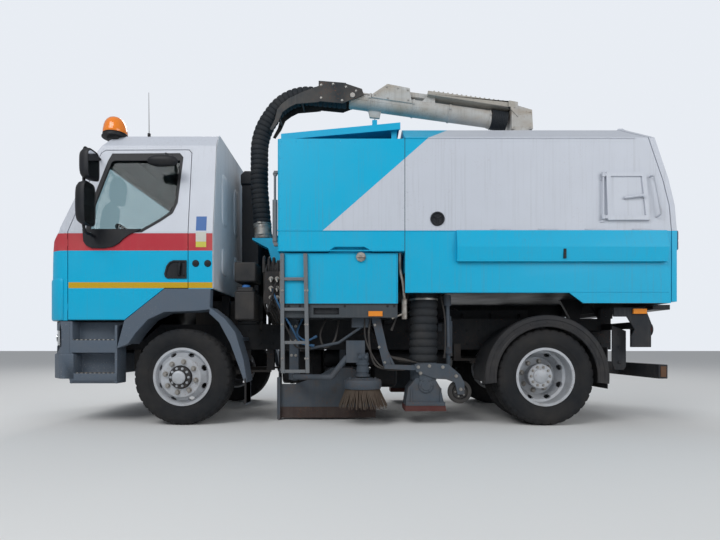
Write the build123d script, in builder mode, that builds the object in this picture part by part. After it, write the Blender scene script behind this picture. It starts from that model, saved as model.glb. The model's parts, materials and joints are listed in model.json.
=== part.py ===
from build123d import *
import os
from math import cos, sin, radians, hypot

# Street sweeper truck, millimetres: +X forward, +Y left, +Z up, ground at z = 0.
os.makedirs("parts", exist_ok=True)

# Middle of the overall length in the drawing's X
mid_x = -35.5

# Driving dimensions of the running gear
wheelbase = 3250
front_axle_x = 1580
tyre_r = 433.5
tyre_w = 262
rim_seat_r = 248
rim_lip_r = 262
rim_half_w = 98.5
rim_lip_t = 8
disc_offset = 145
disc_t = 12
front_track_face_y = 1100
rear_track_face_y = 1130
kingpin_y = 820
stud_circle_r = 137.5
stud_count = 8

# Driving dimensions of the ladder frame
rail_y = 430
rail_web_t = 8
rail_flange = 72
rail_bottom_z = 673
rail_top_z = 931
rail_front_x = 2560
subframe_h = 60
tow_z = 790
tow_dy = 140
tow_dz = 80
tow_hole_r = 7.5

# Driving dimensions of the cab
cab_rear_x = 1309
cab_half_w = 1065
cab_roof_half_w = 950
cab_bottom_z = 940
cab_arch_z = 1225
cab_roof_z = 2700
cab_wall = 46
door_gap = 7
glass_t = 6
glass_inset = 18

# Driving dimensions of the sweeper body
body_half_w = 1150
body_front_x = 714
body_split_x = -411
body_rear_x = -2759
rail_rear_x = body_rear_x + 159
body_wall = 40
front_bottom_z = 1547
front_top_z = 2540
skirt_z = 1180
rear_skirt_z = 1090
belt_z = 1733
shoulder_z = 2550
roof_z = 2740
roof_half_w = 860
hopper_floor_z = 1250
floor_t = 40
body_gap = 8
tip_x = body_rear_x + 199
tip_z = 1040
tip_pin_r = 30
rear_hinge_x = body_rear_x + 323
rear_hinge_z = roof_z + 26
rear_pin_r = 8
pin_clear = 0.4

# Driving dimensions of the overhead suction boom
boom_y = 450
boom_tube_r = 83
turret_x = -1640
turret_r = 150
lift_z = 3005
boom_tip_x = 105
boom_tip_z = 3233
hose_r = 90

# Driving dimensions of the sweeping gear
brush_x = -40
brush_y = 1010
brush_disc_r = 165
brush_tip_r = 225
brush_bottom_z = 150
arm_pivot_x = 620
arm_pivot_y = 700
trunk_x = -605
trunk_y = 915
trunk_r = 130
nozzle_x = -590
nozzle_bottom_z = 165
castor_x = -922
castor_z = 295
castor_r = 107
broom_x = 150
broom_z = 270
broom_r = 190

# Driving dimensions of the roof beacon
beacon_x = 2290
beacon_y = 850
beacon_r = 112

# Dependent places
rear_axle_x = front_axle_x - wheelbase
front_wheel_y = front_track_face_y - tyre_w / 2
rear_outer_y = rear_track_face_y - tyre_w / 2
rear_inner_y = rear_outer_y - 2 * disc_offset
rear_hub_y = rear_outer_y - disc_offset
hub_bore_r = 105
drum_y1 = rear_hub_y - 170


def block(x0, x1, y0, y1, z0, z1, mode=Mode.ADD):
    with Locations(((x0 + x1) / 2, (y0 + y1) / 2, (z0 + z1) / 2)):
        Box(x1 - x0, y1 - y0, z1 - z0, mode=mode)


def pair(x0, x1, y0, y1, z0, z1, mode=Mode.ADD):
    block(x0, x1, y0, y1, z0, z1, mode)
    block(x0, x1, -y1, -y0, z0, z1, mode)


def side_prism(points, y0, y1, mode=Mode.ADD):
    with BuildSketch(Plane.XZ.offset(-y1)) as outline:
        with BuildLine():
            Polyline(*points, close=True)
        make_face()
    extrude(outline.sketch, amount=y1 - y0, mode=mode)


def end_prism(points, x0, x1, mode=Mode.ADD):
    with BuildSketch(Plane.YZ.offset(x0)) as outline:
        with BuildLine():
            Polyline(*points, close=True)
        make_face()
    extrude(outline.sketch, amount=x1 - x0, mode=mode)


def plan_prism(points, z0, z1, mode=Mode.ADD):
    with BuildSketch(Plane.XY.offset(z0)) as outline:
        with BuildLine():
            Polyline(*points, close=True)
        make_face()
    extrude(outline.sketch, amount=z1 - z0, mode=mode)


def rod(start, end, radius, mode=Mode.ADD):
    reach = Vector(*end) - Vector(*start)
    with Locations(Plane(origin=start, z_dir=reach)):
        Cylinder(radius, reach.length, align=(Align.CENTER, Align.CENTER, Align.MIN), mode=mode)


def cross_rod(x, z, y0, y1, radius, mode=Mode.ADD):
    rod((x, y0, z), (x, y1, z), radius, mode)


def turned(points, x, y, z, side=1, mode=Mode.ADD):
    # Revolve a profile of (out, r) points about a wheel axis along Y.
    plane = Plane(origin=(x, y, z), x_dir=(0, side, 0), z_dir=(side, 0, 0))
    with BuildSketch(plane) as outline:
        with BuildLine():
            Polyline(*points, close=True)
        make_face()
    revolve(outline.sketch, axis=Axis((x, y, z), (0, 1, 0)), mode=mode)


def grown(points, out):
    # Move every edge of a closed outline outwards by out, or inwards where out is negative.
    turn = sum(a[0] * b[1] - b[0] * a[1] for a, b in zip(points, points[1:] + points[:1]))
    out = out if turn > 0 else -out
    edges = []
    for a, b in zip(points, points[1:] + points[:1]):
        run, rise = b[0] - a[0], b[1] - a[1]
        span = hypot(run, rise)
        edges.append((a[0] + out * rise / span, a[1] - out * run / span, run, rise))
    moved = []
    for (x0, y0, u0, v0), (x1, y1, u1, v1) in zip(edges[-1:] + edges[:-1], edges):
        t = ((x1 - x0) * v1 - (y1 - y0) * u1) / (u0 * v1 - v0 * u1)
        moved.append((x0 + u0 * t, y0 + v0 * t))
    return moved


def keep(part, name):
    # The drawing's X runs from the photo's own zero: the kept frame starts at mid-length.
    moved = part.moved(Location((-mid_x, 0, 0)))
    moved.label = name
    export_step(moved, f"parts/{name}.step")


# Wheels: rim on (out, r) points, out towards the disc
rim_points = [
    (-rim_half_w - rim_lip_t, rim_lip_r),
    (-rim_half_w, rim_lip_r),
    (-rim_half_w, rim_seat_r),
    (rim_half_w, rim_seat_r),
    (rim_half_w, rim_lip_r),
    (rim_half_w + rim_lip_t, rim_lip_r),
    (rim_half_w + rim_lip_t, rim_seat_r - 8),
    (rim_half_w - 18, rim_seat_r - 26),
    (disc_offset - 40, rim_seat_r - 42),
    (disc_offset, 178),
    (disc_offset, hub_bore_r),
    (disc_offset - disc_t, hub_bore_r),
    (disc_offset - disc_t, 172),
    (disc_offset - 52, rim_seat_r - 52),
    (rim_half_w - 50, rim_seat_r - 34),
    (rim_half_w - 64, rim_seat_r - 12),
    (-rim_half_w + 8, rim_seat_r - 12),
    (-rim_half_w - rim_lip_t, rim_seat_r - 8),
]
hand_hole_r = 208
hand_hole = [(cos(radians(a)) * 30, sin(radians(a)) * 17) for a in range(0, 360, 45)]


def build_rim(x, y, z, out):
    # out is +1 where the disc faces +Y; the hole ring goes through the cone
    with BuildPart() as rim:
        turned(rim_points, x, y, z, out)
        for n in range(stud_count):
            a = 360 / stud_count * (n + 0.5)
            place = Plane(
                origin=(x + hand_hole_r * sin(radians(a)), y, z + hand_hole_r * cos(radians(a))),
                x_dir=(cos(radians(a)), 0, -sin(radians(a))),
                z_dir=(0, out, 0),
            )
            with BuildSketch(place) as hole:
                with BuildLine():
                    Polyline(*hand_hole, close=True)
                make_face()
            extrude(hole.sketch, amount=disc_offset + 20, mode=Mode.SUBTRACT)
    return rim.part


def build_tyre(x, y, z):
    half = tyre_w / 2
    points = [
        (-rim_half_w + 0.5, rim_seat_r + 0.3),
        (-rim_half_w + 0.5, rim_lip_r + 1),
        (-half, tyre_r - 88),
        (-half + 13, tyre_r - 14),
        (-half + 36, tyre_r),
        (half - 36, tyre_r),
        (half - 13, tyre_r - 14),
        (half, tyre_r - 88),
        (rim_half_w - 0.5, rim_lip_r + 1),
        (rim_half_w - 0.5, rim_seat_r + 0.3),
    ]
    with BuildPart() as tyre:
        turned(points, x, y, z)
    return tyre.part


for side, name in ((1, "left"), (-1, "right")):
    front_rim = build_rim(front_axle_x, side * front_wheel_y, tyre_r, side)
    keep(front_rim, f"rim_front_{name}")
    keep(build_tyre(front_axle_x, side * front_wheel_y, tyre_r), f"tyre_front_{name}")
    with BuildPart() as twin_rim:
        cross_rod(rear_axle_x, tyre_r, side * (drum_y1 + 0.3), side * (rear_hub_y + 130), hub_bore_r + 1)
        add(build_rim(rear_axle_x, side * rear_outer_y, tyre_r, -side))
        add(build_rim(rear_axle_x, side * rear_inner_y, tyre_r, side))
    keep(twin_rim.part, f"rims_rear_{name}")
    with BuildPart() as twin_tyre:
        add(build_tyre(rear_axle_x, side * rear_outer_y, tyre_r))
        add(build_tyre(rear_axle_x, side * rear_inner_y, tyre_r))
    keep(twin_tyre.part, f"tyres_rear_{name}")

# Steering knuckles with the front hubs: kingpin boss, spindle and hub flange
hub_flange_t = 22
front_face_y = front_wheel_y + disc_offset - disc_t
kingpin_r = 45
kingpin_half_h = 110
axle_drop_z = 400
axle_h = 110
for side, name in ((1, "left"), (-1, "right")):
    with BuildPart() as knuckle:
        for end in (-1, 1):
            with Locations((front_axle_x, side * kingpin_y, tyre_r + end * (kingpin_half_h - 25))):
                Cylinder(kingpin_r + 12, 50)
        block(
            front_axle_x - 50, front_axle_x + 50,
            min(side * (kingpin_y + 46), side * (kingpin_y + 80)),
            max(side * (kingpin_y + 46), side * (kingpin_y + 80)),
            tyre_r - kingpin_half_h, tyre_r + kingpin_half_h,
        )
        for end in (-1, 1):
            z_mid = tyre_r + end * (kingpin_half_h - 25)
            block(
                front_axle_x - 40, front_axle_x + 40,
                min(side * kingpin_y, side * (kingpin_y + 60)),
                max(side * kingpin_y, side * (kingpin_y + 60)),
                z_mid - 25, z_mid + 25,
            )
        cross_rod(front_axle_x, tyre_r, side * (kingpin_y + 70), side * front_face_y, 88)
        cross_rod(front_axle_x, tyre_r, side * (front_face_y - hub_flange_t), side * front_face_y, 165)
        cross_rod(front_axle_x, tyre_r, side * front_face_y, side * (front_face_y + 40), 96)
        cross_rod(front_axle_x, tyre_r, side * (front_face_y + 40), side * (front_face_y + 62), 56)
        # steering arm reaching back to the track rod
        rod(
            (front_axle_x - 30, side * (kingpin_y + 50), tyre_r - 85),
            (front_axle_x - 210, side * (kingpin_y - 40), tyre_r - 85),
            20,
        )
    keep(knuckle.part, f"knuckle_{name}")

# Front axle beam, leaf springs and their hangers
spring_y = 400
spring_half_w = 38
spring_half_l = 680
with BuildPart() as front_axle:
    beam = kingpin_y - kingpin_r - 20
    block(front_axle_x - 55, front_axle_x + 55, -beam + 120, beam - 120, axle_drop_z - axle_h, axle_drop_z)
    for side in (1, -1):
        end_prism(
            [
                (side * (beam - 130), axle_drop_z - axle_h),
                (side * (beam + 10), tyre_r - 45),
                (side * (beam + 10), tyre_r + 45),
                (side * (beam - 130), axle_drop_z),
            ],
            front_axle_x - 50, front_axle_x + 50,
        )
        with Locations((front_axle_x, side * kingpin_y, tyre_r)):
            Cylinder(kingpin_r, 2 * (kingpin_half_h - 50) - 0.6)
        block(
            front_axle_x - 50, front_axle_x + 50,
            min(side * (beam - 5), side * kingpin_y), max(side * (beam - 5), side * kingpin_y),
            tyre_r - 45, tyre_r + 45,
        )
        y0 = side * spring_y - spring_half_w
        y1 = side * spring_y + spring_half_w
        # leaf pack: three leaves, each shorter than the one above
        for leaf, reach in ((0, 1.0), (1, 0.72), (2, 0.45)):
            top = axle_drop_z + 62 - leaf * 20
            half = spring_half_l * reach
            block(front_axle_x - half, front_axle_x + half, y0, y1, top - 20, top)
        block(front_axle_x - 90, front_axle_x + 90, y0 - 12, y1 + 12, axle_drop_z, axle_drop_z + 4)
        for end in (-1, 1):
            x_eye = front_axle_x + end * spring_half_l
            block(x_eye - 35, x_eye + 35, y0, y1, axle_drop_z + 62, rail_bottom_z)
keep(front_axle.part, "front_axle")

# Rear drive axle: tube, differential bowl, springs and hub ends
with BuildPart() as rear_axle:
    tube_end = drum_y1
    cross_rod(rear_axle_x, tyre_r, -tube_end, tube_end, 72)
    turned(
        [(-205, 0), (-205, 60), (-120, 165), (0, 205), (120, 165), (205, 60), (205, 0)],
        rear_axle_x, 0, tyre_r,
    )
    rod((rear_axle_x, 0, tyre_r), (rear_axle_x + 330, 0, tyre_r + 70), 90)
    for side in (1, -1):
        cross_rod(rear_axle_x, tyre_r, side * (tube_end - 40), side * tube_end, 150)
        y0 = side * 470 - spring_half_w
        y1 = side * 470 + spring_half_w
        for leaf, reach in ((0, 1.0), (1, 0.75), (2, 0.5)):
            top = tyre_r + 152 - leaf * 26
            half = 700 * reach
            block(rear_axle_x - half, rear_axle_x + half, y0, y1, top - 26, top)
        block(rear_axle_x - 70, rear_axle_x + 70, y0 - 10, y1 + 10, tyre_r - 60, tyre_r + 74)
        for end in (-1, 1):
            x_eye = rear_axle_x + end * 665
            y_near, y_far = sorted((side * rail_y, side * (470 + spring_half_w)))
            block(x_eye - 35, x_eye + 35, y_near, y_far, tyre_r + 152, rail_bottom_z + 60)
keep(rear_axle.part, "rear_axle")

# Ladder frame: C rails, crossmembers, subframe, outriggers, cab and tipping brackets
hopper_pin_y = 430
ear_y0, ear_y1 = 372, 425
lug_y0, lug_y1 = 300, 352
deck_z = rail_top_z + subframe_h
cross_xs = (2400, 950, 200, -700, -2010, -2540)
outrigger_xs = (600, -300)
ram_x, ram_z = -1900, 760
eye_x, eye_z = -900, 1120
beam_z0, beam_z1 = 964, 1088
beam_y0, beam_y1 = 640, 1110
beam_x0, beam_x1 = -350, 665
with BuildPart() as chassis_frame:
    for s in (1, -1):
        end_prism(
            [
                (s * rail_y, rail_bottom_z),
                (s * rail_y, rail_top_z),
                (s * (rail_y - rail_flange), rail_top_z),
                (s * (rail_y - rail_flange), rail_top_z - rail_web_t),
                (s * (rail_y - rail_web_t), rail_top_z - rail_web_t),
                (s * (rail_y - rail_web_t), rail_bottom_z + rail_web_t),
                (s * (rail_y - rail_flange), rail_bottom_z + rail_web_t),
                (s * (rail_y - rail_flange), rail_bottom_z),
            ],
            rail_rear_x, rail_front_x,
        )
    for x in cross_xs:
        block(x - 30, x + 30, -rail_y + rail_web_t, rail_y - rail_web_t, 700, 880)
    # standard tow hole pattern in the last crossmember
    for y in (tow_dy / 2, -tow_dy / 2):
        for z in (tow_z + tow_dz / 2, tow_z - tow_dz / 2):
            rod((-2575, y, z), (-2505, y, z), tow_hole_r, Mode.SUBTRACT)
    pair(rail_rear_x, 650, rail_y - rail_flange, rail_y, rail_top_z, deck_z)
    for x in outrigger_xs:
        pair(x - 40, x + 40, rail_y, beam_y0, rail_top_z, beam_z0 + 27)
    pair(1330, 1400, rail_y - rail_flange, rail_y, rail_top_z, cab_arch_z - 0.3)
    pair(2300, 2400, rail_y - rail_flange, rail_y, rail_top_z, cab_bottom_z - 0.3)
    pair(tip_x - 60, tip_x + 60, ear_y0, ear_y1, deck_z, tip_z + 55)
    for s in (1, -1):
        cross_rod(tip_x, tip_z, s * (ear_y0 - 5), s * (ear_y1 + 5), tip_pin_r + pin_clear, Mode.SUBTRACT)
    pair(ram_x - 85, ram_x + 45, 68, 88, 700, ram_z + 50)
    cross_rod(ram_x, ram_z, -88, 88, 25)
keep(chassis_frame.part, "chassis_frame")

with BuildPart() as drive_engine:
    block(1260, 1700, -330, 330, 560, 1180)
    pair(1380, 1480, 330, rail_y - rail_web_t, 750, 810)
    block(1900, 2300, -300, 300, 600, 900)
    block(1700, 1900, -150, 150, 650, 850)
    pair(2050, 2150, 300, rail_y - rail_web_t, 750, 810)
keep(drive_engine.part, "drive_engine")

# Cab: one outer form, cut into shell, doors and glass
cab_side = [
    (2835, cab_bottom_z), (2838, 1320), (2802, 1350), (2785, 1560), (2765, 1660),
    (2700, 1740), (2580, 2040), (2400, 2510), (2300, 2640), (2180, 2672),
    (cab_rear_x, cab_roof_z), (cab_rear_x, cab_arch_z), (1740, cab_arch_z), (2100, cab_bottom_z),
]
belt_line_z = 1740
cab_corner_r = 210
door_edge_x = 2610
door_pin_x = door_edge_x + 4
door_pin_y = cab_half_w + 1
door_pin_r = 3.6


def cab_form(inset):
    half = cab_half_w - inset
    roof_half = cab_roof_half_w - inset
    top = cab_roof_z + 8 - inset
    with BuildPart() as form:
        side_prism(grown(cab_side, -inset), -cab_half_w - 50, cab_half_w + 50)
        end_prism(
            [
                (half, cab_bottom_z - 10), (half, belt_line_z), (roof_half, 2560),
                (roof_half - 70, top - 35), (roof_half - 150, top), (-roof_half + 150, top),
                (-roof_half + 70, top - 35), (-roof_half, 2560), (-half, belt_line_z),
                (-half, cab_bottom_z - 10),
            ],
            cab_rear_x - 100, 3000, Mode.INTERSECT,
        )
        front = cab_side[1][0] + 2 - inset
        corner = cab_corner_r - inset
        with BuildSketch(Plane.XY.offset(cab_bottom_z - 50)) as plan:
            with BuildLine():
                Polyline((front - corner, half), (cab_rear_x - 50, half), (cab_rear_x - 50, -half),
                         (front - corner, -half))
                ThreePointArc((front - corner, -half),
                              (front - corner * 0.293, -half + corner * 0.293),
                              (front, -half + corner))
                Line((front, -half + corner), (front, half - corner))
                ThreePointArc((front, half - corner),
                              (front - corner * 0.293, half - corner * 0.293),
                              (front - corner, half))
            make_face()
        extrude(plan.sketch, amount=2000, mode=Mode.INTERSECT)
    return form.part


door_line = [
    (door_edge_x, cab_bottom_z + 8), (door_edge_x, belt_line_z), (2362, 2485), (2325, 2511), (1560, 2515),
    (1535, 2490), (1535, cab_arch_z + 8), (1743, cab_arch_z + 8), (2103, cab_bottom_z + 8),
]
window_line = [
    (2434, 1752), (2398, 2014), (2280, 2400), (2250, 2462), (1650, 2466), (1628, 2440),
    (1657, 2014), (1694, 1924), (1793, 1852), (1955, 1752),
]
screen_line = [(-900, 1800), (900, 1800), (840, 2440), (-840, 2440)]


def side_band(side, depth):
    # the zone just inside the cab's skin on one side, depth deep
    inner = cab_half_w - depth
    lean = cab_half_w - cab_roof_half_w
    with BuildPart() as band:
        end_prism(
            [
                (side * inner, 880), (side * inner, belt_line_z), (side * (inner - lean), 2560),
                (side * (inner + 300), 2560), (side * (inner + 300), 880),
            ],
            cab_rear_x - 100, 3000,
        )
    return band.part


def cut_prism(points, grow, side):
    with BuildPart() as cutter:
        side_prism(grown(points, grow), side * 500 - 700, side * 500 + 700)
    return cutter.part


outer_form = cab_form(0)
inner_form = cab_form(cab_wall)
glass_zone = cab_form(glass_inset) - cab_form(glass_inset + glass_t)
with BuildPart() as cab_shell:
    add(outer_form)
    add(inner_form, mode=Mode.SUBTRACT)
    for side in (1, -1):
        add(cut_prism(door_line, door_gap, side) & side_band(side, cab_wall + 9), mode=Mode.SUBTRACT)
    end_prism(screen_line, 2330, 2900, Mode.SUBTRACT)
    for side in (1, -1):
        for z in (1060, 1640):
            with Locations((door_pin_x, side * door_pin_y, z)):
                Cylinder(door_pin_r, 60)
    # slots of the front grille
    for n in range(4):
        block(2780, 2860, -420, 420, 1030 + n * 70, 1065 + n * 70, Mode.SUBTRACT)
keep(cab_shell.part, "cab_shell")
with BuildPart() as screen_cut:
    end_prism(screen_line, 2330, 2900)
keep(glass_zone & screen_cut.part, "windscreen")
for side, name in ((1, "left"), (-1, "right")):
    window_cut = cut_prism(window_line, 0, side)
    door = (outer_form & cut_prism(door_line, 0, side) & side_band(side, cab_wall)) - window_cut
    keep(door, f"door_{name}")
    pane = (glass_zone & window_cut) & side_band(side, glass_inset + glass_t + 4)
    keep(pane, f"door_glass_{name}")

with BuildPart() as cab_interior:
    floor_z = cab_arch_z + cab_wall + 0.3
    for y in (480, -480):
        block(1560, 2010, y - 240, y + 240, floor_z, 1420)
        block(1540, 2040, y - 250, y + 250, 1420, 1530)
        side_prism([(1600, 1530), (1480, 1540), (1400, 2180), (1490, 2190)], y - 240, y + 240)
        block(1405, 1490, y - 130, y + 130, 2185, 2380)
    block(2380, 2700, -960, 960, 1500, 1640)
    block(2420, 2600, -960, 960, 1640, 1720)
    block(2440, 2620, -180, 180, cab_bottom_z + cab_wall + 0.3, 1500)
    rod((2430, 480, 1640), (2281, 480, 1767), 25)
    with Locations(Plane(origin=(2280, 480, 1768), z_dir=(-0.76, 0, 0.65))):
        Torus(215, 16)
        Box(420, 30, 14)
keep(cab_interior.part, "cab_interior")

# Front bumper with the lamp pockets and the entry steps, one moulding
step_x0, step_x1 = 2172, 2600
with BuildPart() as front_bumper:
    plan_prism(
        [
            (2560, -1070), (2690, -1070), (2795, -960), (2838, -720), (2838, 720),
            (2795, 960), (2690, 1070), (2560, 1070),
        ],
        416, 640,
    )
    plan_prism(
        [
            (2600, -1062), (2680, -1062), (2775, -960), (2815, -720), (2815, 720),
            (2775, 960), (2680, 1062), (2600, 1062),
        ],
        640, cab_bottom_z - 5,
    )
    block(2600, 2740, -700, 700, 470, 860, Mode.SUBTRACT)
    pair(2560, 2610, rail_y - 60, rail_y, rail_bottom_z + 8, rail_top_z - 8)
    for n in range(3):
        block(2700, 2900, -620, 620, 690 + n * 60, 720 + n * 60, Mode.SUBTRACT)
    for s in (1, -1):
        plan_prism(
            [(2690, s * 790), (2900, s * 740), (2900, s * 1010), (2700, s * 1100), (2660, s * 1020)],
            716, 850, Mode.SUBTRACT,
        )
        end_prism(
            [
                (s * 880, 372), (s * 1040, 372), (s * 1066, 400), (s * 1066, 462),
                (s * 930, 466), (s * 920, 640), (s * 1060, 650), (s * 1060, 762),
                (s * 940, 768), (s * 930, 934), (s * 880, 934),
            ],
            step_x0, step_x1,
        )
        y0, y1 = sorted((s * 880, s * 1060))
        block(step_x0, step_x0 + 25, y0, y1, 372, 900)
        block(step_x1 - 25, step_x1, y0, y1, 372, 934)
keep(front_bumper.part, "front_bumper")

# Front mudguards: the grey arch below the cab and the rear half behind the tyre
seat_gap = 0.5
arch_top = [(2168, 687), (2104, cab_bottom_z - 12), (2100, cab_bottom_z - seat_gap),
            (1740, cab_arch_z - seat_gap), (1325, cab_arch_z - seat_gap)]
arch_under = [(1330, 1039), (1468, 1025), (1742, 1015), (1887, 949), (2001, 822), (2067, 727)]
guard_outer = [(1330, 1060), (1197, 955), (1105, 835), (1030, 590), (998, 389)]
guard_inner = [(1022, 380), (1066, 506), (1150, 734), (1250, 921), (1340, 1005)]
arch_y0, arch_y1 = 842, 1078
with BuildPart() as front_mudguards:
    for s in (1, -1):
        y0, y1 = sorted((s * 1000, s * arch_y1))
        side_prism(arch_top + arch_under, y0, y1)
        y0, y1 = sorted((s * arch_y0, s * arch_y1))
        side_prism([(x - 8 if x > 1742 else x, z + 20) for x, z in reversed(arch_under)]
                   + [(x, z) for x, z in arch_under], y0, y1)
        side_prism(guard_outer + guard_inner, y0, y1)
        y0, y1 = sorted((s * rail_y, s * arch_y0))
        block(1120, 1160, y0, y1, 760, 800)
        y0, y1 = sorted((s * (arch_y0 - 2), s * (arch_y0 + 30)))
        block(1090, 1170, y0, y1, 750, 810)
        y0, y1 = sorted((s * (arch_y0 + 20), s * (arch_y1 - 20)))
        block(1008, 1020, y0, y1, 180, 400)
keep(front_mudguards.part, "front_mudguards")

# Lamps: head, tail, side markers
with BuildPart() as lamps:
    for s in (1, -1):
        plan_prism(
            [(2698, s * 793), (2795, s * 770), (2772, s * 955), (2708, s * 1050), (2668, s * 1018)],
            716.3, 849,
        )
        for y in (850, 980):
            rod((body_rear_x + 118.7, s * y, 860), (body_rear_x + 91, s * y, 860), 58)
        y0, y1 = sorted((s * 1060.3, s * 1078))
        block(body_rear_x + 169, body_rear_x + 289, y0, y1, 1000, 1045)
        y0, y1 = sorted((s * 1110.3, s * 1122))
        block(-215, -90, y0, y1, 975, 1020)
keep(lamps.part, "lamps")

# Between cab and body: air intake stack, fluid reservoir, hydraulic valve block
with BuildPart() as intake_stack:
    block(1030, 1240, -rail_y, rail_y, rail_top_z, rail_top_z + 30)
    block(1050, 1230, 30, 280, rail_top_z + 30, 2420)
    side_prism([(1040, 2420), (1240, 2420), (1240, 2520), (1200, 2560), (1080, 2560), (1040, 2520)], 10, 295)
    rod((1130, -200, rail_top_z + 30), (1130, -200, 2300), 75)
keep(intake_stack.part, "intake_stack")
with BuildPart() as reservoir:
    block(950, 1130, 700, 1000, 950, 1210)
    plan_prism([(965, 720), (1115, 720), (1115, 980), (965, 980)], 1210, 1250)
    with Locations((1040, 920, 1262)):
        Cylinder(38, 28)
    block(980, 1010, rail_y, 700, 960, 990)
    block(980, 1010, rail_y, rail_y + 12, 880, 990)
    block(940, 1135, 720, 990, 1300, 1480)
    block(1000, 1060, 740, 760, 1250, 1300)
keep(reservoir.part, "reservoir")
with BuildPart() as valve_block:
    block(690, 704, rail_y, 1000, 880, 1400)
    block(704, 850, 870, 1000, 1100, 1392)
    for z in (1150, 1235, 1320):
        for x in (735, 790):
            cross_rod(x, z, 1000, 1035, 20)
    block(690, 710, 990, 1050, 1090, 1385)
keep(valve_block.part, "valve_block")

# Side tanks on their beams, the auxiliary engine between them, and the ladder
tank_z1 = 1526
tank_y0, tank_y1 = 600, 1120
with BuildPart() as side_tanks:
    for s in (1, -1):
        y0, y1 = sorted((s * tank_y0, s * tank_y1))
        block(beam_x0, beam_x1, y0, y1, beam_z1, tank_z1)
        y0, y1 = sorted((s * beam_y0, s * beam_y1))
        block(beam_x0, beam_x1, y0, y1, beam_z0, beam_z1)
        cross_rod(-23, 1500, s * (tank_y1 - 60), s * (tank_y1 + 8), 38)
        y0, y1 = sorted((s * (beam_y1 - 40), s * (beam_y1 + 5)))
        block(170, 400, y0, y1, 990, 1050, Mode.SUBTRACT)
    edges_up = side_tanks.edges().filter_by(Axis.Z).filter_by(lambda e: abs(e.center().Y) > 1100)
    fillet(edges_up.filter_by(lambda e: e.length > 300), radius=18)
keep(side_tanks.part, "side_tanks")
with BuildPart() as sweep_engine:
    block(-320, 640, -560, 560, deck_z, 1480)
keep(sweep_engine.part, "sweep_engine")
ladder_y = tank_y1 + 0.3
with BuildPart() as ladder:
    for x_top, x_low in ((674, 668), (468, 448)):
        side_prism([(x_top - 17, 1528), (x_top + 17, 1528), (x_low + 17, 470), (x_low - 17, 470)],
                   ladder_y, ladder_y + 32)
    for z in (1303, 1035, 741, 487):
        block(450, 670, ladder_y + 4, ladder_y + 28, z - 14, z + 14)
keep(ladder.part, "ladder")

# Sweeper body: a solid front section, then the hollow hopper, both tipping about the rear pin
notch = [(271, front_bottom_z - 1), (209, front_bottom_z + 40), (-53, front_bottom_z + 40),
         (-126, front_bottom_z - 1)]
canopy_y = 1000
with BuildPart() as front_section:
    block(body_split_x, body_front_x, -body_half_w, body_half_w, front_bottom_z, front_top_z)
    corners = front_section.edges().filter_by(Axis.Z).sort_by(Axis.X)[-2:]
    fillet(corners, radius=25)
    for s in (1, -1):
        y0, y1 = sorted((s * 1080, s * (body_half_w + 5)))
        side_prism(notch, y0, y1, Mode.SUBTRACT)
    # sloping air-intake canopy on the roof, with downturned lips and four posts
    side_prism([(705, 2632), (705, 2648), (-385, 2752), (-385, 2736)], -canopy_y, canopy_y)
    for s in (1, -1):
        y0, y1 = sorted((s * (canopy_y - 14), s * canopy_y))
        side_prism([(705, 2592), (705, 2640), (-385, 2744), (-385, 2690)], y0, y1)
        for x in (640, -330):
            y0, y1 = sorted((s * 900, s * 960))
            block(x - 25, x + 25, y0, y1, front_top_z, 2640 if x > 0 else 2735)
    # cradle post for the boom and the shelf for the hose foot
    block(-195, -145, boom_y - 35, boom_y + 35, 2725, 3010)
    side_prism([(body_front_x, 1547), (body_front_x, 1792), (1060, 1792), (1060, 1776), (900, 1690),
                (860, 1547)], boom_y - 110, boom_y + 110)
keep(front_section.part, "front_section")

# the curved rear edge, from the roof down to the skirt
roof_rear_x = body_rear_x + 309
rear_line = [(roof_rear_x, roof_z), (body_rear_x + 204, shoulder_z), (body_rear_x + 74, 2170),
             (body_rear_x + 19, 1950), (body_rear_x, belt_z), (body_rear_x, rear_skirt_z + 12)]
hopper_side = [
    (body_split_x, skirt_z), (body_split_x, roof_z + 40), (roof_rear_x, roof_z + 40), *rear_line[:-1],
    (body_rear_x, rear_skirt_z), (rear_axle_x - 316, rear_skirt_z), (rear_axle_x - 194, skirt_z),
]
hopper_end = [
    (-body_half_w, 1000), (body_half_w, 1000), (body_half_w, shoulder_z), (roof_half_w, roof_z),
    (-roof_half_w, roof_z), (-body_half_w, shoulder_z),
]
hatch_hinge_x = body_rear_x + 609
hatch_line = [(hatch_hinge_x - 25, 2239), (hatch_hinge_x - 370, 2239), (hatch_hinge_x - 415, 1818),
              (hatch_hinge_x - 40, 1818)]
hatch_pin_y = body_half_w + 24
lid_x0, lid_x1 = body_rear_x + 44, -865
lid_top_z, lid_bend_z, lid_low_z = 1731, 1578, 1454
lid_pin_y, lid_pin_z = body_half_w + 10, lid_top_z + 7
lid_knuckle_r = 8.5
lid_hinge_xs = [lid_x0 + (lid_x1 - lid_x0) * k / 4 for k in (0.4, 1.3, 2.2, 3.1)]
inlet_r = 118
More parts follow.
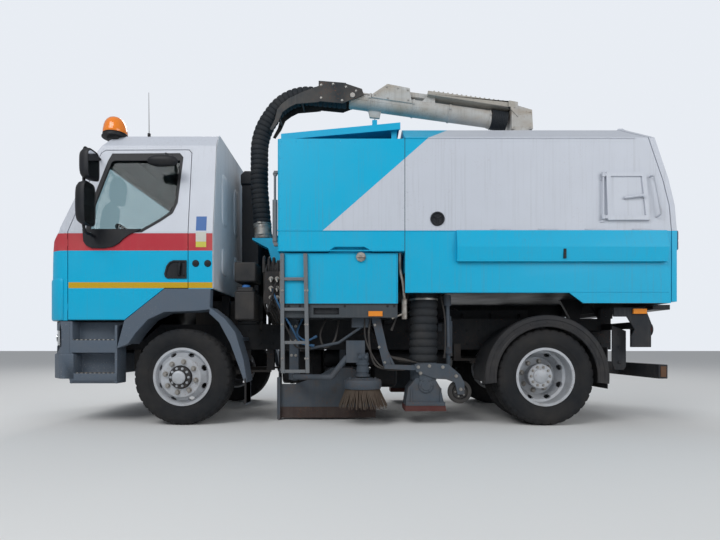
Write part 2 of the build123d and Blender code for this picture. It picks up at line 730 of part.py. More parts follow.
with BuildPart() as hopper_shell:
    side_prism(hopper_side, -body_half_w, body_half_w)
    end_prism(hopper_end, body_rear_x - 10, body_split_x + 10, Mode.INTERSECT)
    end_prism(
        [
            (-body_half_w + body_wall, hopper_floor_z + floor_t),
            (body_half_w - body_wall, hopper_floor_z + floor_t),
            (body_half_w - body_wall, shoulder_z - 22), (roof_half_w - 14, roof_z - body_wall),
            (-roof_half_w + 14, roof_z - body_wall), (-body_half_w + body_wall, shoulder_z - 22),
        ],
        body_rear_x - 20, body_split_x - body_wall, Mode.SUBTRACT,
    )
    block(body_rear_x + 40, body_split_x + 10, -body_half_w + body_wall, body_half_w - body_wall,
          1000, hopper_floor_z, Mode.SUBTRACT)
    # discharge lip below the rear opening
    block(body_rear_x - 150, body_rear_x + 10, -900, 900, rear_skirt_z - 40, rear_skirt_z + 5)
    for s in (1, -1):
        with Locations((trunk_x, s * trunk_y, 0)):
            with Locations((0, 0, (1150 + hopper_floor_z) / 2)):
                Cylinder(inlet_r + 12, hopper_floor_z - 1150)
            with Locations((0, 0, 1220)):
                Cylinder(inlet_r, 160, mode=Mode.SUBTRACT)
        y0, y1 = sorted((s * 1120, s * 1160))
        block(lid_x0 + 15, lid_x1 - 15, y0, y1, lid_low_z + 15, lid_top_z - 25, Mode.SUBTRACT)
        y0, y1 = sorted((s * lug_y0, s * lug_y1))
        side_prism([(tip_x - 100, hopper_floor_z), (tip_x - 55, tip_z), (tip_x - 35, tip_z - 45),
                    (tip_x + 35, tip_z - 45), (tip_x + 60, tip_z), (tip_x + 180, hopper_floor_z)], y0, y1)
        y0, y1 = sorted((s * lug_y0, s * hopper_pin_y))
        cross_rod(tip_x, tip_z, y0, y1, tip_pin_r)
        y0, y1 = sorted((s * 56, s * 74))
        side_prism([(eye_x - 80, hopper_floor_z), (eye_x - 45, 1075), (eye_x + 45, 1075),
                    (eye_x + 80, hopper_floor_z)], y0, y1)
    side_prism(grown(hatch_line, -45), 1100, 1160, Mode.SUBTRACT)
    # fixed knuckles of the side lids
    for x in lid_hinge_xs:
        for s in (1, -1):
            rod((x + 60.5, s * lid_pin_y, lid_pin_z), (x + 110, s * lid_pin_y, lid_pin_z), lid_knuckle_r - 2.5)
            y0, y1 = sorted((s * (body_half_w - 2), s * lid_pin_y))
            block(x + 60.5, x + 110, y0, y1, lid_pin_z, lid_pin_z + 5)
    # roof ears and pins that carry the rear door
    for s in (1, -1):
        for y in (545, 630):
            y0, y1 = sorted((s * y, s * (y + 30)))
            block(rear_hinge_x - 12, rear_hinge_x + 22, y0, y1, roof_z - 2, rear_hinge_z + 12)
        y0, y1 = sorted((s * 550, s * 655))
        cross_rod(rear_hinge_x, rear_hinge_z, y0, y1, rear_pin_r)
    # roof plinth under the boom turret, and the hatch hinge pads
    with Locations((turret_x, boom_y, roof_z + 6)):
        Cylinder(turret_r + 30, 12)
    for z in (2215, 1845):
        block(hatch_hinge_x - 18, hatch_hinge_x + 18, body_half_w, body_half_w + 9, z - 42, z - 22)
keep(hopper_shell.part, "hopper_shell")

# Rear door: a dished panel that follows the curved rear edge
door_in = [(x - body_gap, z) for x, z in rear_line]
door_out = [(roof_rear_x - body_gap, roof_z + 22), (roof_rear_x - 50, roof_z + 25),
            (body_rear_x + 153, shoulder_z + 25), (body_rear_x + 21, 2182), (body_rear_x - 33, 1955),
            (body_rear_x - 52, belt_z), (body_rear_x - 52, rear_skirt_z + 12)]
with BuildPart() as rear_door:
    side_prism(door_in + door_out[::-1], -body_half_w, body_half_w)
    end_prism(
        [(-body_half_w, 1000), (body_half_w, 1000), (body_half_w, shoulder_z), (roof_half_w, roof_z + 2),
         (roof_half_w - 40, roof_z + 50), (-roof_half_w + 40, roof_z + 50), (-roof_half_w, roof_z + 2),
         (-body_half_w, shoulder_z)],
        body_rear_x - 141, roof_rear_x + 50, Mode.INTERSECT,
    )
    for s in (1, -1):
        y0, y1 = sorted((s * 575.5, s * 629.5))
        cross_rod(rear_hinge_x, rear_hinge_z, y0, y1, rear_pin_r + 7)
        block(rear_hinge_x - 36, rear_hinge_x, y0, y1, rear_hinge_z - 12, rear_hinge_z + 3)
        cross_rod(rear_hinge_x, rear_hinge_z, y0, y1, rear_pin_r + pin_clear, Mode.SUBTRACT)
    # pressed ribs across the door
    for z in (1250, 1450, 1650):
        block(body_rear_x - 66, body_rear_x - 50, -1000, 1000, z - 30, z + 30)
    for s in (1, -1):
        y0, y1 = sorted((s * 1085, s * 1145))
        block(body_rear_x - 62, body_rear_x - 50, y0, y1, 1560, 1730)
keep(rear_door.part, "rear_door")

with BuildPart() as access_hatch:
    side_prism(hatch_line, body_half_w + seat_gap, body_half_w + 28)
    side_prism(grown(hatch_line, -38), body_half_w + 16, body_half_w + 40, Mode.SUBTRACT)
    for z in (2215, 1845):
        with Locations((hatch_hinge_x, hatch_pin_y, z)):
            Cylinder(14, 40)
        block(hatch_hinge_x - 40, hatch_hinge_x, hatch_pin_y - 10, hatch_pin_y + 2, z - 14, z + 14)
    rod((hatch_hinge_x, hatch_pin_y, 1845), (hatch_hinge_x, hatch_pin_y, 2215), 8)
    rod((hatch_hinge_x - 180, hatch_pin_y + 6, 2010), (hatch_hinge_x - 350, hatch_pin_y + 14, 2030), 11)
    cross_rod(hatch_hinge_x - 350, 2030, hatch_pin_y - 9, hatch_pin_y + 22, 16)
keep(access_hatch.part, "access_hatch")

for s, name in ((1, "left"), (-1, "right")):
    skin = [(1150.6, lid_top_z), (1166, lid_top_z), (1200, lid_bend_z), (1188, lid_low_z),
            (1172, lid_low_z), (1184, lid_bend_z - 2), (1156, lid_top_z - 20), (1150.6, lid_top_z - 20)]
    cheek = [(1150.6, lid_top_z), (1166, lid_top_z), (1200, lid_bend_z), (1188, lid_low_z),
             (1150.6, lid_low_z)]
    with BuildPart() as side_lid:
        end_prism([(s * y, z) for y, z in skin], lid_x0, lid_x1)
        for x in (lid_x0, lid_x1 - 12):
            end_prism([(s * y, z) for y, z in cheek], x, x + 12)
        for x in lid_hinge_xs:
            rod((x - 60, s * lid_pin_y, lid_pin_z), (x + 60, s * lid_pin_y, lid_pin_z), lid_knuckle_r)
    keep(side_lid.part, f"side_lid_{name}")

# Boom: a slewing cowl, the lifting arm with its suction tube, the hose with its cheeks
plinth_top = roof_z + 12
cowl_front, cowl_rear = -1539, -1753
lift_x, lift_top_z = -1545, 3135
with BuildPart() as boom_turret:
    with Locations((turret_x, boom_y, plinth_top + 0.3 + 70)):
        Cylinder(turret_r - 20, 140)
    side_prism([(cowl_front, 2885), (cowl_rear, 2885), (cowl_rear + 10, 3076), (-1600, 3118),
                (cowl_front, 3118)], boom_y - 115, boom_y + 115)
    for s in (1, -1):
        y0, y1 = sorted((boom_y + s * 125, boom_y + s * 113))
        side_prism([(cowl_front - 60, 3000), (cowl_front - 60, 3150), (lift_x + 40, 3165),
                    (lift_x + 40, 3100)], y0, y1)
    cross_rod(lift_x, lift_top_z, boom_y - 125, boom_y + 125, 14)
keep(boom_turret.part, "boom_turret")

slope = (boom_tip_z - 3032) / (boom_tip_x + 1334)


def boom_axis_z(x):
    return 3032 + (x + 1334) * slope


tube_end_x = boom_tip_x - 22
with BuildPart() as boom_arm:
    rod((cowl_front + 22, boom_y, boom_axis_z(cowl_front + 22)), (-1345, boom_y, boom_axis_z(-1345)), 92)
    rod((-1350, boom_y, boom_axis_z(-1350)), (tube_end_x, boom_y, boom_axis_z(tube_end_x)), boom_tube_r)
    side_prism([(-138, 3243), (-296, 3348), (-520, 3305), (-542, 3150), (-138, 3210)],
               boom_y - 95, boom_y + 95)
    side_prism([(-700, 3272), (-700, 3232), (lift_x + 22, 3104), (lift_x - 18, 3152)],
               boom_y - 108, boom_y + 108)
    side_prism([(-500, 3300), (-520, 3250), (-720, 3225), (-720, 3272)], boom_y - 30, boom_y + 30)
    side_prism([(-700, 3240), (-640, 3180), (-640, 3140), (-780, 3140), (-780, 3230)],
               boom_y - 60, boom_y + 60)
    cross_rod(lift_x, lift_top_z, boom_y - 112, boom_y + 112, 14.4, Mode.SUBTRACT)
    side_prism([(-100, 3140), (-120, 3045), (-220, 3035), (-240, 3125)], boom_y - 14, boom_y + 14)
    cross_rod(boom_tip_x - 50, boom_axis_z(boom_tip_x - 50), boom_y - 104, boom_y + 104, 16)
keep(boom_arm.part, "boom_arm")

hose_start_x = boom_tip_x + 8
hose_points = [
    (hose_start_x, boom_y, boom_axis_z(hose_start_x)), (720, boom_y, 3290),
    (1008, boom_y, 2880), (1010, boom_y, 2330), (979, boom_y, 1958),
]
hose_bends = [430, 600, 800]
coupling_len = 158.6
with BuildPart() as suction_hose:
    with BuildLine() as hose_line:
        FilletPolyline(*hose_points, radius=hose_bends)
    with BuildSketch(Plane(origin=hose_line.line @ 0, z_dir=hose_line.line % 0)):
        Circle(hose_r)
    sweep()
keep(suction_hose.part, "suction_hose")
foot = Vector(*hose_points[-1])
foot_dir = (foot - Vector(*hose_points[-2])).normalized()
# the guide arm follows the inside of the hose's bend
guide_line = [
    (386, 3326), (560, 3262), (696, 3199), (770, 3140), (813, 3086), (836, 2985), (889, 2886),
    (862, 2872), (800, 2960), (757, 3056), (696, 3102), (624, 3138), (432, 3154), (386, 3160),
]
with BuildPart() as hose_fittings:
    rod(tuple(foot + foot_dir * 0.3), tuple(foot + foot_dir * coupling_len), hose_r - 2)
    for s in (1, -1):
        y0, y1 = sorted((boom_y + s * (hose_r + 4), boom_y + s * (hose_r + 13)))
        side_prism([(396, 3367), (120, 3345), (-40, 3292), (-60, 3228), (157, 3145), (396, 3168)], y0, y1)
        side_prism(guide_line, y0, y1)
        cross_rod(boom_tip_x - 50, boom_axis_z(boom_tip_x - 50), y0 - 5, y1 + 5, 17, Mode.SUBTRACT)
    side_prism([(396, 3374), (120, 3352), (120, 3343), (396, 3365)], boom_y - hose_r - 13, boom_y + hose_r + 13)
    for x, z in ((793, 3003), (560, 3160)):
        cross_rod(x, z, boom_y - hose_r - 6, boom_y + hose_r + 6, 9)
keep(hose_fittings.part, "hose_fittings")

# Tipping ram: barrel on the chassis pin, rod with its eye below the hopper
ram_dir = Vector(eye_x - ram_x, 0, eye_z - ram_z).normalized()
ram_len = hypot(eye_x - ram_x, eye_z - ram_z)


def on_ram(s):
    return (ram_x + ram_dir.X * s, 0, ram_z + ram_dir.Z * s)


barrel_len = 900
piston_s = 200
with BuildPart() as tip_barrel:
    cross_rod(ram_x, ram_z, -45, 45, 58)
    rod(on_ram(40), on_ram(barrel_len), 64)
    rod(on_ram(75), on_ram(barrel_len - 30), 54, Mode.SUBTRACT)
    rod(on_ram(barrel_len - 40), on_ram(barrel_len + 5), 40.5, Mode.SUBTRACT)
    cross_rod(ram_x, ram_z, -50, 50, 25.4, Mode.SUBTRACT)
keep(tip_barrel.part, "tip_barrel")
with BuildPart() as tip_rod:
    rod(on_ram(piston_s), on_ram(piston_s + 50), 53.5)
    rod(on_ram(piston_s + 40), on_ram(ram_len - 30), 40)
    cross_rod(eye_x, eye_z, -45, 45, 46)
    cross_rod(eye_x, eye_z, -50, 50, 22, Mode.SUBTRACT)
keep(tip_rod.part, "tip_rod")

# Rear: mudguards over the twin tyres, underrun bar, lamp arms
guard_r = 512
guard_t = 9
guard_y0, guard_y1 = 562, 1134
with BuildPart() as rear_mudguards:
    for s in (1, -1):
        y0, y1 = s * guard_y0, s * guard_y1
        cross_rod(rear_axle_x, tyre_r, y0, y1, guard_r)
        cross_rod(rear_axle_x, tyre_r, s * (guard_y1 - 34), y1, guard_r + 26)
        cross_rod(rear_axle_x, tyre_r, s * (guard_y0 - 5), s * (guard_y1 + 5), guard_r - guard_t, Mode.SUBTRACT)
    block(rear_axle_x - 600, rear_axle_x + 600, -1200, 1200, -200, 378, Mode.SUBTRACT)
    pair(rear_axle_x - 40, rear_axle_x + 40, rail_y, guard_y0 + 4, tyre_r + guard_r - guard_t, tyre_r + guard_r)
keep(rear_mudguards.part, "rear_mudguards")

with BuildPart() as rear_underrun:
    block(body_rear_x + 9, body_rear_x + 89, -1120, 1120, 420, 545)
    for s in (1, -1):
        y0, y1 = sorted((s * rail_y, s * (rail_y + 16)))
        side_prism([(body_rear_x + 369, 860), (body_rear_x + 279, 860), (body_rear_x + 269, 560),
                    (body_rear_x + 89, 545), (body_rear_x + 89, 420), (body_rear_x + 279, 450),
                    (body_rear_x + 369, 560)], y0, y1)
        y0, y1 = sorted((s * rail_y, s * 1050))
        block(body_rear_x + 199, body_rear_x + 259, y0, y1, 870, 930)
        y0, y1 = sorted((s * 1044, s * 1060))
        side_prism([(body_rear_x + 459, 1060), (body_rear_x + 174, 1060), (body_rear_x + 119, 920),
                    (body_rear_x + 119, 700), (body_rear_x + 299, 700), (body_rear_x + 299, 800),
                    (body_rear_x + 269, 860), (body_rear_x + 339, 975), (body_rear_x + 459, 975)], y0, y1)
        y0, y1 = sorted((s * 780, s * 1050))
        block(body_rear_x + 119, body_rear_x + 159, y0, y1, 700, 925)
        block(body_rear_x + 159, body_rear_x + 219, y0, y1, 870, 925)
keep(rear_underrun.part, "rear_underrun")

# Sweeping gear, one set on each side
post_top_z = beam_z0
arm_z = 425
motor_top_z, disc_top_z = 600, 422
with BuildPart() as tool_frame:
    for s in (1, -1):
        y0, y1 = sorted((s * 645, s * 760))
        block(arm_pivot_x - 45, arm_pivot_x + 40, y0, y1, 480, post_top_z)
        rod((arm_pivot_x, s * arm_pivot_y, 372), (arm_pivot_x, s * arm_pivot_y, 490), 30)
        y0, y1 = sorted((s * 1000, s * 1030))
        side_prism([(-120, beam_z0), (-200, beam_z0), (-300, 530), (-235, 500)], y0, y1)
        y0, y1 = sorted((s * 645, s * 1000))
        side_prism([(-120, beam_z0), (-200, beam_z0), (-213, 900), (-133, 900)], y0, y1)
        y0, y1 = sorted((s * rail_y, s * 940))
        block(-860, -820, y0, y1, 940, 985)
        block(-860, -820, *sorted((s * rail_y, s * (rail_y + 14))), 860, 985)
        rod((-840, s * 900, 941), (-840, s * 900, 640), 38)
        rod((-840, s * 900, 650), (-840, s * 900, 425), 20)
keep(tool_frame.part, "tool_frame")

with BuildPart() as suction_trunks:
    for s in (1, -1):
        rod((trunk_x, s * trunk_y, 560), (trunk_x, s * trunk_y, 1149.6), trunk_r)
        rod((trunk_x, s * trunk_y, 550), (trunk_x, s * trunk_y, 1160), trunk_r - 14, Mode.SUBTRACT)
keep(suction_trunks.part, "suction_trunks")

with BuildPart() as suction_nozzles:
    for s in (1, -1):
        y0, y1 = sorted((s * 790, s * 1050))
        side_prism([(-425, nozzle_bottom_z), (-790, nozzle_bottom_z), (-770, 215), (-745, 330),
                    (-690, 420), (-520, 420), (-450, 330)], y0, y1)
        y0, y1 = sorted((s * 815, s * 1025))
        side_prism([(-450, nozzle_bottom_z - 5), (-765, nozzle_bottom_z - 5), (-745, 215), (-720, 320),
                    (-480, 320)], y0, y1, Mode.SUBTRACT)
        rod((trunk_x, s * trunk_y, 400), (trunk_x, s * trunk_y, 559.7), trunk_r - 8)
        rod((trunk_x, s * trunk_y, 300), (trunk_x, s * trunk_y, 565), trunk_r - 20, Mode.SUBTRACT)
        y0, y1 = sorted((s * 1050, s * 1068))
        side_prism([(-507, 545), (-664, 556), (-806, 548), (-915, 455), (-955, 380), (-955, 275), (-895, 275),
                    (-870, 380), (-791, 410), (-700, 415), (-521, 478)], y0, y1)
        y0, y1 = sorted((s * 1031, s * 1062))
        side_prism([(-235, 545), (-235, 505), (-560, 490), (-560, 535)], y0, y1)
        y0, y1 = sorted((s * 1020, s * 1052))
        block(-690, -560, y0, y1, 400, 440)
        rod((castor_x, s * 1068, castor_z), (castor_x, s * 968, castor_z), 15)
keep(suction_nozzles.part, "suction_nozzles")

for s, name in ((1, "left"), (-1, "right")):
    with BuildPart() as castor:
        turned([(-24, 15.4), (-24, 60), (-30, 70), (-30, castor_r - 14), (-20, castor_r), (20, castor_r),
                (30, castor_r - 14), (30, 70), (24, 60), (24, 15.4)], castor_x, s * 1008, castor_z)
    keep(castor.part, f"nozzle_wheel_{name}")

    with BuildPart() as brush_arm:
        rod((arm_pivot_x, s * arm_pivot_y, 385), (arm_pivot_x, s * arm_pivot_y, 475), 56)
        rod((arm_pivot_x, s * arm_pivot_y, 380), (arm_pivot_x, s * arm_pivot_y, 478), 30.5, Mode.SUBTRACT)
        path = [(arm_pivot_x - 8, s * (arm_pivot_y + 50), arm_z), (585, s * 940, arm_z),
                (246, s * brush_y, arm_z), (110, s * brush_y, 600), (brush_x, s * brush_y, 640)]
        for a, b in zip(path, path[1:]):
            rod(a, b, 27)
            with Locations(b):
                Sphere(27)
        rod((brush_x, s * brush_y, disc_top_z + 6), (brush_x, s * brush_y, 640), 52)
        block(brush_x - 20, brush_x + 150, *sorted((s * (brush_y - 30), s * (brush_y + 30))), 560, 760)
    keep(brush_arm.part, f"brush_arm_{name}")

    with BuildPart() as brush:
        with BuildSketch(Plane(origin=(brush_x, s * brush_y, 0), x_dir=(1, 0, 0), z_dir=(0, -1, 0))) as half:
            with BuildLine():
                Polyline((0, disc_top_z + 5.7), (30, disc_top_z + 5.7), (30, disc_top_z),
                         (brush_disc_r - 15, disc_top_z), (brush_disc_r, disc_top_z - 18),
                         (brush_disc_r, 326), (brush_disc_r - 20, 318), (brush_tip_r, brush_bottom_z),
                         (90, brush_bottom_z + 12), (60, 318), (0, 318), close=True)
            make_face()
        revolve(half.sketch, axis=Axis((brush_x, s * brush_y, 0), (0, 0, 1)))
    keep(brush.part, f"gutter_brush_{name}")

side_plate_y = 740
with BuildPart() as broom_housing:
    side_prism([(-95, 300), (-60, 420), (60, 500), (260, 500), (380, 420), (420, 300), (408, 300),
                (368, 412), (254, 488), (66, 488), (-50, 412), (-83, 300)], -side_plate_y, side_plate_y)
    for s in (1, -1):
        y0, y1 = sorted((s * side_plate_y, s * (side_plate_y + 12)))
        side_prism([(-175, 125), (-175, 345), (-60, 420), (60, 500), (260, 500), (380, 420), (600, 345),
                    (745, 345), (745, 125)], y0, y1)
        y0, y1 = sorted((s * (side_plate_y + 2), s * (side_plate_y + 10)))
        side_prism([(-170, 20), (-170, 125), (742, 125), (742, 20)], y0, y1)
        y0, y1 = sorted((s * 700, s * 790))
        block(745, 775, y0, y1, 12, 410)
        y0, y1 = sorted((s * 362, s * 426))
        block(130, 190, y0, y1, 490, rail_bottom_z)
        rod((broom_x, s * side_plate_y, broom_z), (broom_x, s * (side_plate_y - 18), broom_z), 30)
keep(broom_housing.part, "broom_housing")
with BuildPart() as wide_broom:
    cross_rod(broom_x, broom_z, -side_plate_y + 25, side_plate_y - 25, broom_r)
    cross_rod(broom_x, broom_z, -side_plate_y + 18.4, side_plate_y - 18.4, 40)
keep(wide_broom.part, "wide_broom")

# Cab fittings on the doors and roof
for s, name in ((1, "left"), (-1, "right")):
    with BuildPart() as mirror:
        rod((2385, s * 1215, 1745), (2370, s * 1215, 2430), 13)
        rod((2370, s * 1215, 2425), (2330, s * 972, 2425), 13)
        rod((2385, s * 1215, 1750), (2385, s * 1070.5, 1690), 13)
        for x0, x1, z0, z1 in ((2290, 2392, 2152, 2402), (2325, 2430, 1757, 2125)):
            block(x0, x1, *sorted((s * 1135, s * 1330)), z0, z1)
        shell_edges = mirror.edges().filter_by(Axis.Z).filter_by(lambda e: e.length > 200)
        fillet(shell_edges.filter_by(lambda e: abs(e.center().Y) > 1100), radius=30)
    keep(mirror.part, f"mirror_{name}")
with BuildPart() as roof_beacon:
    block(beacon_x - 60, beacon_x + 45, beacon_y - 60, beacon_y + 60, 2560, 2690)
    add(outer_form, mode=Mode.SUBTRACT)
    with Locations((beacon_x, beacon_y, 2705)):
        Cylinder(beacon_r - 6, 30)
    with Locations((beacon_x, beacon_y, 2730)):
        Cylinder(beacon_r, 40)
    with Locations((beacon_x, beacon_y, 2750)):
        Cone(beacon_r - 4, 48, 118, align=(Align.CENTER, Align.CENTER, Align.MIN))
keep(roof_beacon.part, "roof_beacon")
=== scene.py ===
import json
from math import cos, pi, radians, sin
from random import Random

import bmesh
import bpy
from mathutils import Matrix, Vector


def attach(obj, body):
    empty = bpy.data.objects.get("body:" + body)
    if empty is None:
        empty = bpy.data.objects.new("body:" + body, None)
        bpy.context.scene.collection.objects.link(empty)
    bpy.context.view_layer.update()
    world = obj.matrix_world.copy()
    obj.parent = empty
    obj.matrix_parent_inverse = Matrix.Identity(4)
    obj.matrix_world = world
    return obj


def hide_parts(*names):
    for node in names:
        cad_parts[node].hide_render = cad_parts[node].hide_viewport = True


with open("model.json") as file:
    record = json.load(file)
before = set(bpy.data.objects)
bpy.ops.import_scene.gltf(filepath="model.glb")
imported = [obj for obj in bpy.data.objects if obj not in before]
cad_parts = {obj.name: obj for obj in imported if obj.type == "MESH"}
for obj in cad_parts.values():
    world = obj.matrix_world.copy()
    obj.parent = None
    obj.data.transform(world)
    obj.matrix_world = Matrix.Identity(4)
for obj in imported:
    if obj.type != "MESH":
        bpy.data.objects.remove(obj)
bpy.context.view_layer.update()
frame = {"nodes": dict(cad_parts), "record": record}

# Drawing X in millimetres runs from the photo's zero: the frame starts MID metres behind it.
MID = 0.0355
SIDES = ((1, "left"), (-1, "right"))


def along(x):
    return x / 1000 + MID


def at(x, y, z):
    return Vector((along(x), y / 1000, z / 1000))


# Shader helpers.


def add_node(tree, kind, inputs=None, **settings):
    node = tree.nodes.new(kind)
    for key, value in settings.items():
        setattr(node, key, value)
    for key, value in (inputs or {}).items():
        value = value.socket if isinstance(value, Level) else value
        if isinstance(value, bpy.types.NodeSocket):
            tree.links.new(value, node.inputs[key])
        elif value is not None:
            node.inputs[key].default_value = value
    return node


class Level:
    """A number inside a shader: each sum or comparison adds the node that works it out."""

    def __init__(self, tree, socket):
        self.tree, self.socket = tree, socket

    def calc(self, operation, a, b=None, clamp=False):
        node = add_node(self.tree, "ShaderNodeMath", {0: a, 1: b}, operation=operation, use_clamp=clamp)
        return Level(self.tree, node.outputs[0])

    def between(self, low, high):
        return (self > low) * (self < high)

    def ramp(self, low, high, to_low=0.0, to_high=1.0):
        node = add_node(self.tree, "ShaderNodeMapRange", {0: self, 1: low, 2: high, 3: to_low, 4: to_high})
        return Level(self.tree, node.outputs[0])

    def share(self, amount):
        # the product, kept between 0 and 1
        return self.calc("MULTIPLY", self, amount, clamp=True)

    def into(self, socket):
        self.tree.links.new(self.socket, socket)


for method, operation in (("__add__", "ADD"), ("__sub__", "SUBTRACT"), ("__mul__", "MULTIPLY"),
                          ("__abs__", "ABSOLUTE"), ("__gt__", "GREATER_THAN"), ("__lt__", "LESS_THAN"),
                          ("larger", "MAXIMUM"), ("smaller", "MINIMUM")):
    setattr(Level, method, lambda self, other=None, operation=operation: self.calc(operation, self, other))


def blend(mask, a, b):
    def rgba(c):
        return c if isinstance(c, bpy.types.NodeSocket) else (*c, 1)
    node = add_node(mask.tree, "ShaderNodeMix", {0: mask, 6: rgba(a), 7: rgba(b)}, data_type="RGBA")
    return node.outputs[2]


def own_place(tree):
    return add_node(tree, "ShaderNodeTexCoord").outputs["Object"]


def own_xyz(tree):
    axes = add_node(tree, "ShaderNodeSeparateXYZ", {0: own_place(tree)}).outputs
    return [Level(tree, axis) for axis in axes[:3]]


def noise(tree, scale, stretch=(1, 1, 1), detail=4):
    spot = add_node(tree, "ShaderNodeMapping", {"Vector": own_place(tree), "Scale": stretch}).outputs[0]
    cloud = add_node(tree, "ShaderNodeTexNoise", {"Vector": spot, "Scale": scale, "Detail": detail})
    return Level(tree, cloud.outputs["Fac"])


def new_group(name, inputs, outputs):
    tree = bpy.data.node_groups.new(name, "ShaderNodeTree")
    for label, value in inputs.items():
        tree.interface.new_socket(label, in_out="INPUT", socket_type="NodeSocketFloat").default_value = value
    for label in outputs:
        tree.interface.new_socket(label, in_out="OUTPUT", socket_type="NodeSocketFloat")
    return tree, tree.nodes.new("NodeGroupInput").outputs, tree.nodes.new("NodeGroupOutput").inputs


def road_dirt_group():
    # Rain streaks down the panels, spray thrown up from the road, and loose dust patches
    tree, given, out = new_group("road_dirt", {"Streaks": 0.4, "Spray": 0.5, "Spray height": 1.3},
                                 ("Streak", "Spray", "Patch"))
    lines = noise(tree, 9, (7, 7, 0.16)).ramp(0.52, 0.72) * noise(tree, 1.3, (1, 1, 0.7), 3).ramp(0.3, 0.68)
    lines.share(given["Streaks"]).into(out["Streak"])
    height = own_xyz(tree)[2]
    low = height.calc("SUBTRACT", 1.0, height.calc("DIVIDE", height, given["Spray height"]), clamp=True)
    speckle = noise(tree, 16, detail=6).ramp(0.3, 0.75, 0.25, 1.0)
    (low * speckle).share(given["Spray"]).into(out["Spray"])
    noise(tree, 5, detail=5).ramp(0.35, 0.7).into(out["Patch"])
    return tree


def chips_group():
    # Stone chips and small rusty scuffs in paint
    tree, given, out = new_group("stone_chips", {"Amount": 0.3, "Size": 90}, ("Chip",))
    level = noise(tree, given["Size"], detail=3).ramp(0.62, 0.68) * noise(tree, 3.5, detail=2).ramp(0.45, 0.6)
    level.share(given["Amount"]).into(out["Chip"])
    return tree


def grain_group():
    # Moulded or cast surface grain, as a height for bump
    tree, given, out = new_group("surface_grain", {"Size": 350, "Waviness": 0.3}, ("Height",))
    wave = noise(tree, 4, detail=2) * given["Waviness"]
    (noise(tree, given["Size"], detail=2) + wave).into(out["Height"])
    return tree


road_dirt = road_dirt_group()
stone_chips = chips_group()
surface_grain = grain_group()

STREAK_GREY = (0.13, 0.125, 0.115)
ROAD_DUST = (0.17, 0.145, 0.12)
RUST = (0.16, 0.055, 0.02)
GLOSS = 0.26
GRAIN_DEPTH = 0.002
finishes = {}


def finish(name, colour, rough=0.5, streaks=0.2, spray=0.5, spray_top=1.3, dust=0.1, chips=0.2,
           chip_colour=RUST, chip_size=90, grain=350, bump=0.05, metallic=0.0, coat=0.0, transmission=0.0):
    """A weathered material: colour is plain, or a function of (x, y, z) that gives a socket."""
    finishes[name] = bpy.data.materials.new(name)
    finishes[name].use_nodes = True
    tree = finishes[name].node_tree
    shader = tree.nodes["Principled BSDF"]
    tone = colour(*own_xyz(tree)) if callable(colour) else colour

    def effect(group, inputs):
        outputs = add_node(tree, "ShaderNodeGroup", inputs, node_tree=group).outputs
        return [Level(tree, socket) for socket in outputs]

    streak, sprayed, patch = effect(
        road_dirt, {"Streaks": streaks, "Spray": spray, "Spray height": spray_top})
    chip, = effect(stone_chips, {"Amount": chips, "Size": chip_size})
    height, = effect(surface_grain, {"Size": grain})
    for mask, over in ((patch * dust, ROAD_DUST), (streak, STREAK_GREY), (sprayed, ROAD_DUST),
                       (chip, chip_colour)):
        tone = blend(mask, tone, over)
    tree.links.new(tone, shader.inputs["Base Color"])
    worn = sprayed + patch * 0.3
    worn.calc("ADD", worn * 0.3, rough, clamp=True).into(shader.inputs["Roughness"])
    relief = add_node(tree, "ShaderNodeBump", {"Height": height, "Strength": bump, "Distance": GRAIN_DEPTH})
    tree.links.new(relief.outputs[0], shader.inputs["Normal"])
    for label, value in (("Metallic", metallic), ("Specular IOR Level", GLOSS), ("Coat Weight", coat),
                         ("Transmission Weight", transmission)):
        shader.inputs[label].default_value = value


CYAN = (0.0, 0.38, 0.62)
WHITE = (0.51, 0.54, 0.60)
CREAM = (0.46, 0.465, 0.455)
RED = (0.42, 0.030, 0.045)
YELLOW = (0.52, 0.32, 0.01)
BLACK = (0.008, 0.010, 0.014)
STRIPE_LOW, STRIPE_HIGH = 1.569, 1.725
BELT = 1.729
CAB_FOOT = 0.9405
LINING_DROP = 0.0378


def cab_livery(x, y, z):
    wide = abs(y)
    # the red stripe has faded unevenly towards its foot
    red = blend(noise(x.tree, 5, (1, 1, 0.5), 3).ramp(0.45, 0.8, 0.0, 0.35), RED, (0.55, 0.16, 0.14))
    tone = blend(z.between(STRIPE_LOW, STRIPE_HIGH), blend(z > STRIPE_LOW, CYAN, WHITE), red)
    tone = blend(z.between(1.231, 1.284) * (x < along(2607)), tone, YELLOW)
    # the black seal round the windscreen
    half = z.calc("SUBTRACT", 1.112, z * 0.094)
    tone = blend((wide < half) * z.between(1.765, 2.475) * (x > along(2330)), tone, BLACK)
    # the rear wall is plain, the lining grey, and the underside with the wheel arch black
    tone = blend(x < along(1312), tone, (0.45, 0.46, 0.48))
    room = z.calc("SUBTRACT", 1.294, z * 0.146).smaller(1.035)
    # the roof falls towards the front in three slopes, and its lining follows below the outside
    height = z
    for start, slope in ((1000, 0.032), (2180, 0.235), (2300, 1.033)):
        height = height + (x - along(start)).larger(0.0) * slope
    height = height - LINING_DROP
    sides = (wide < room) * (height < 2.56)
    ceiling = (wide < 0.84) * (height < 2.660)
    tone = blend(sides.larger(ceiling) * x.between(along(1325), along(2400)), tone, (0.07, 0.08, 0.09))
    low = (wide < 1.045) * x.between(along(1318), along(2690)) * (z < 1.5)
    return blend(low.larger(z < CAB_FOOT), tone, BLACK)


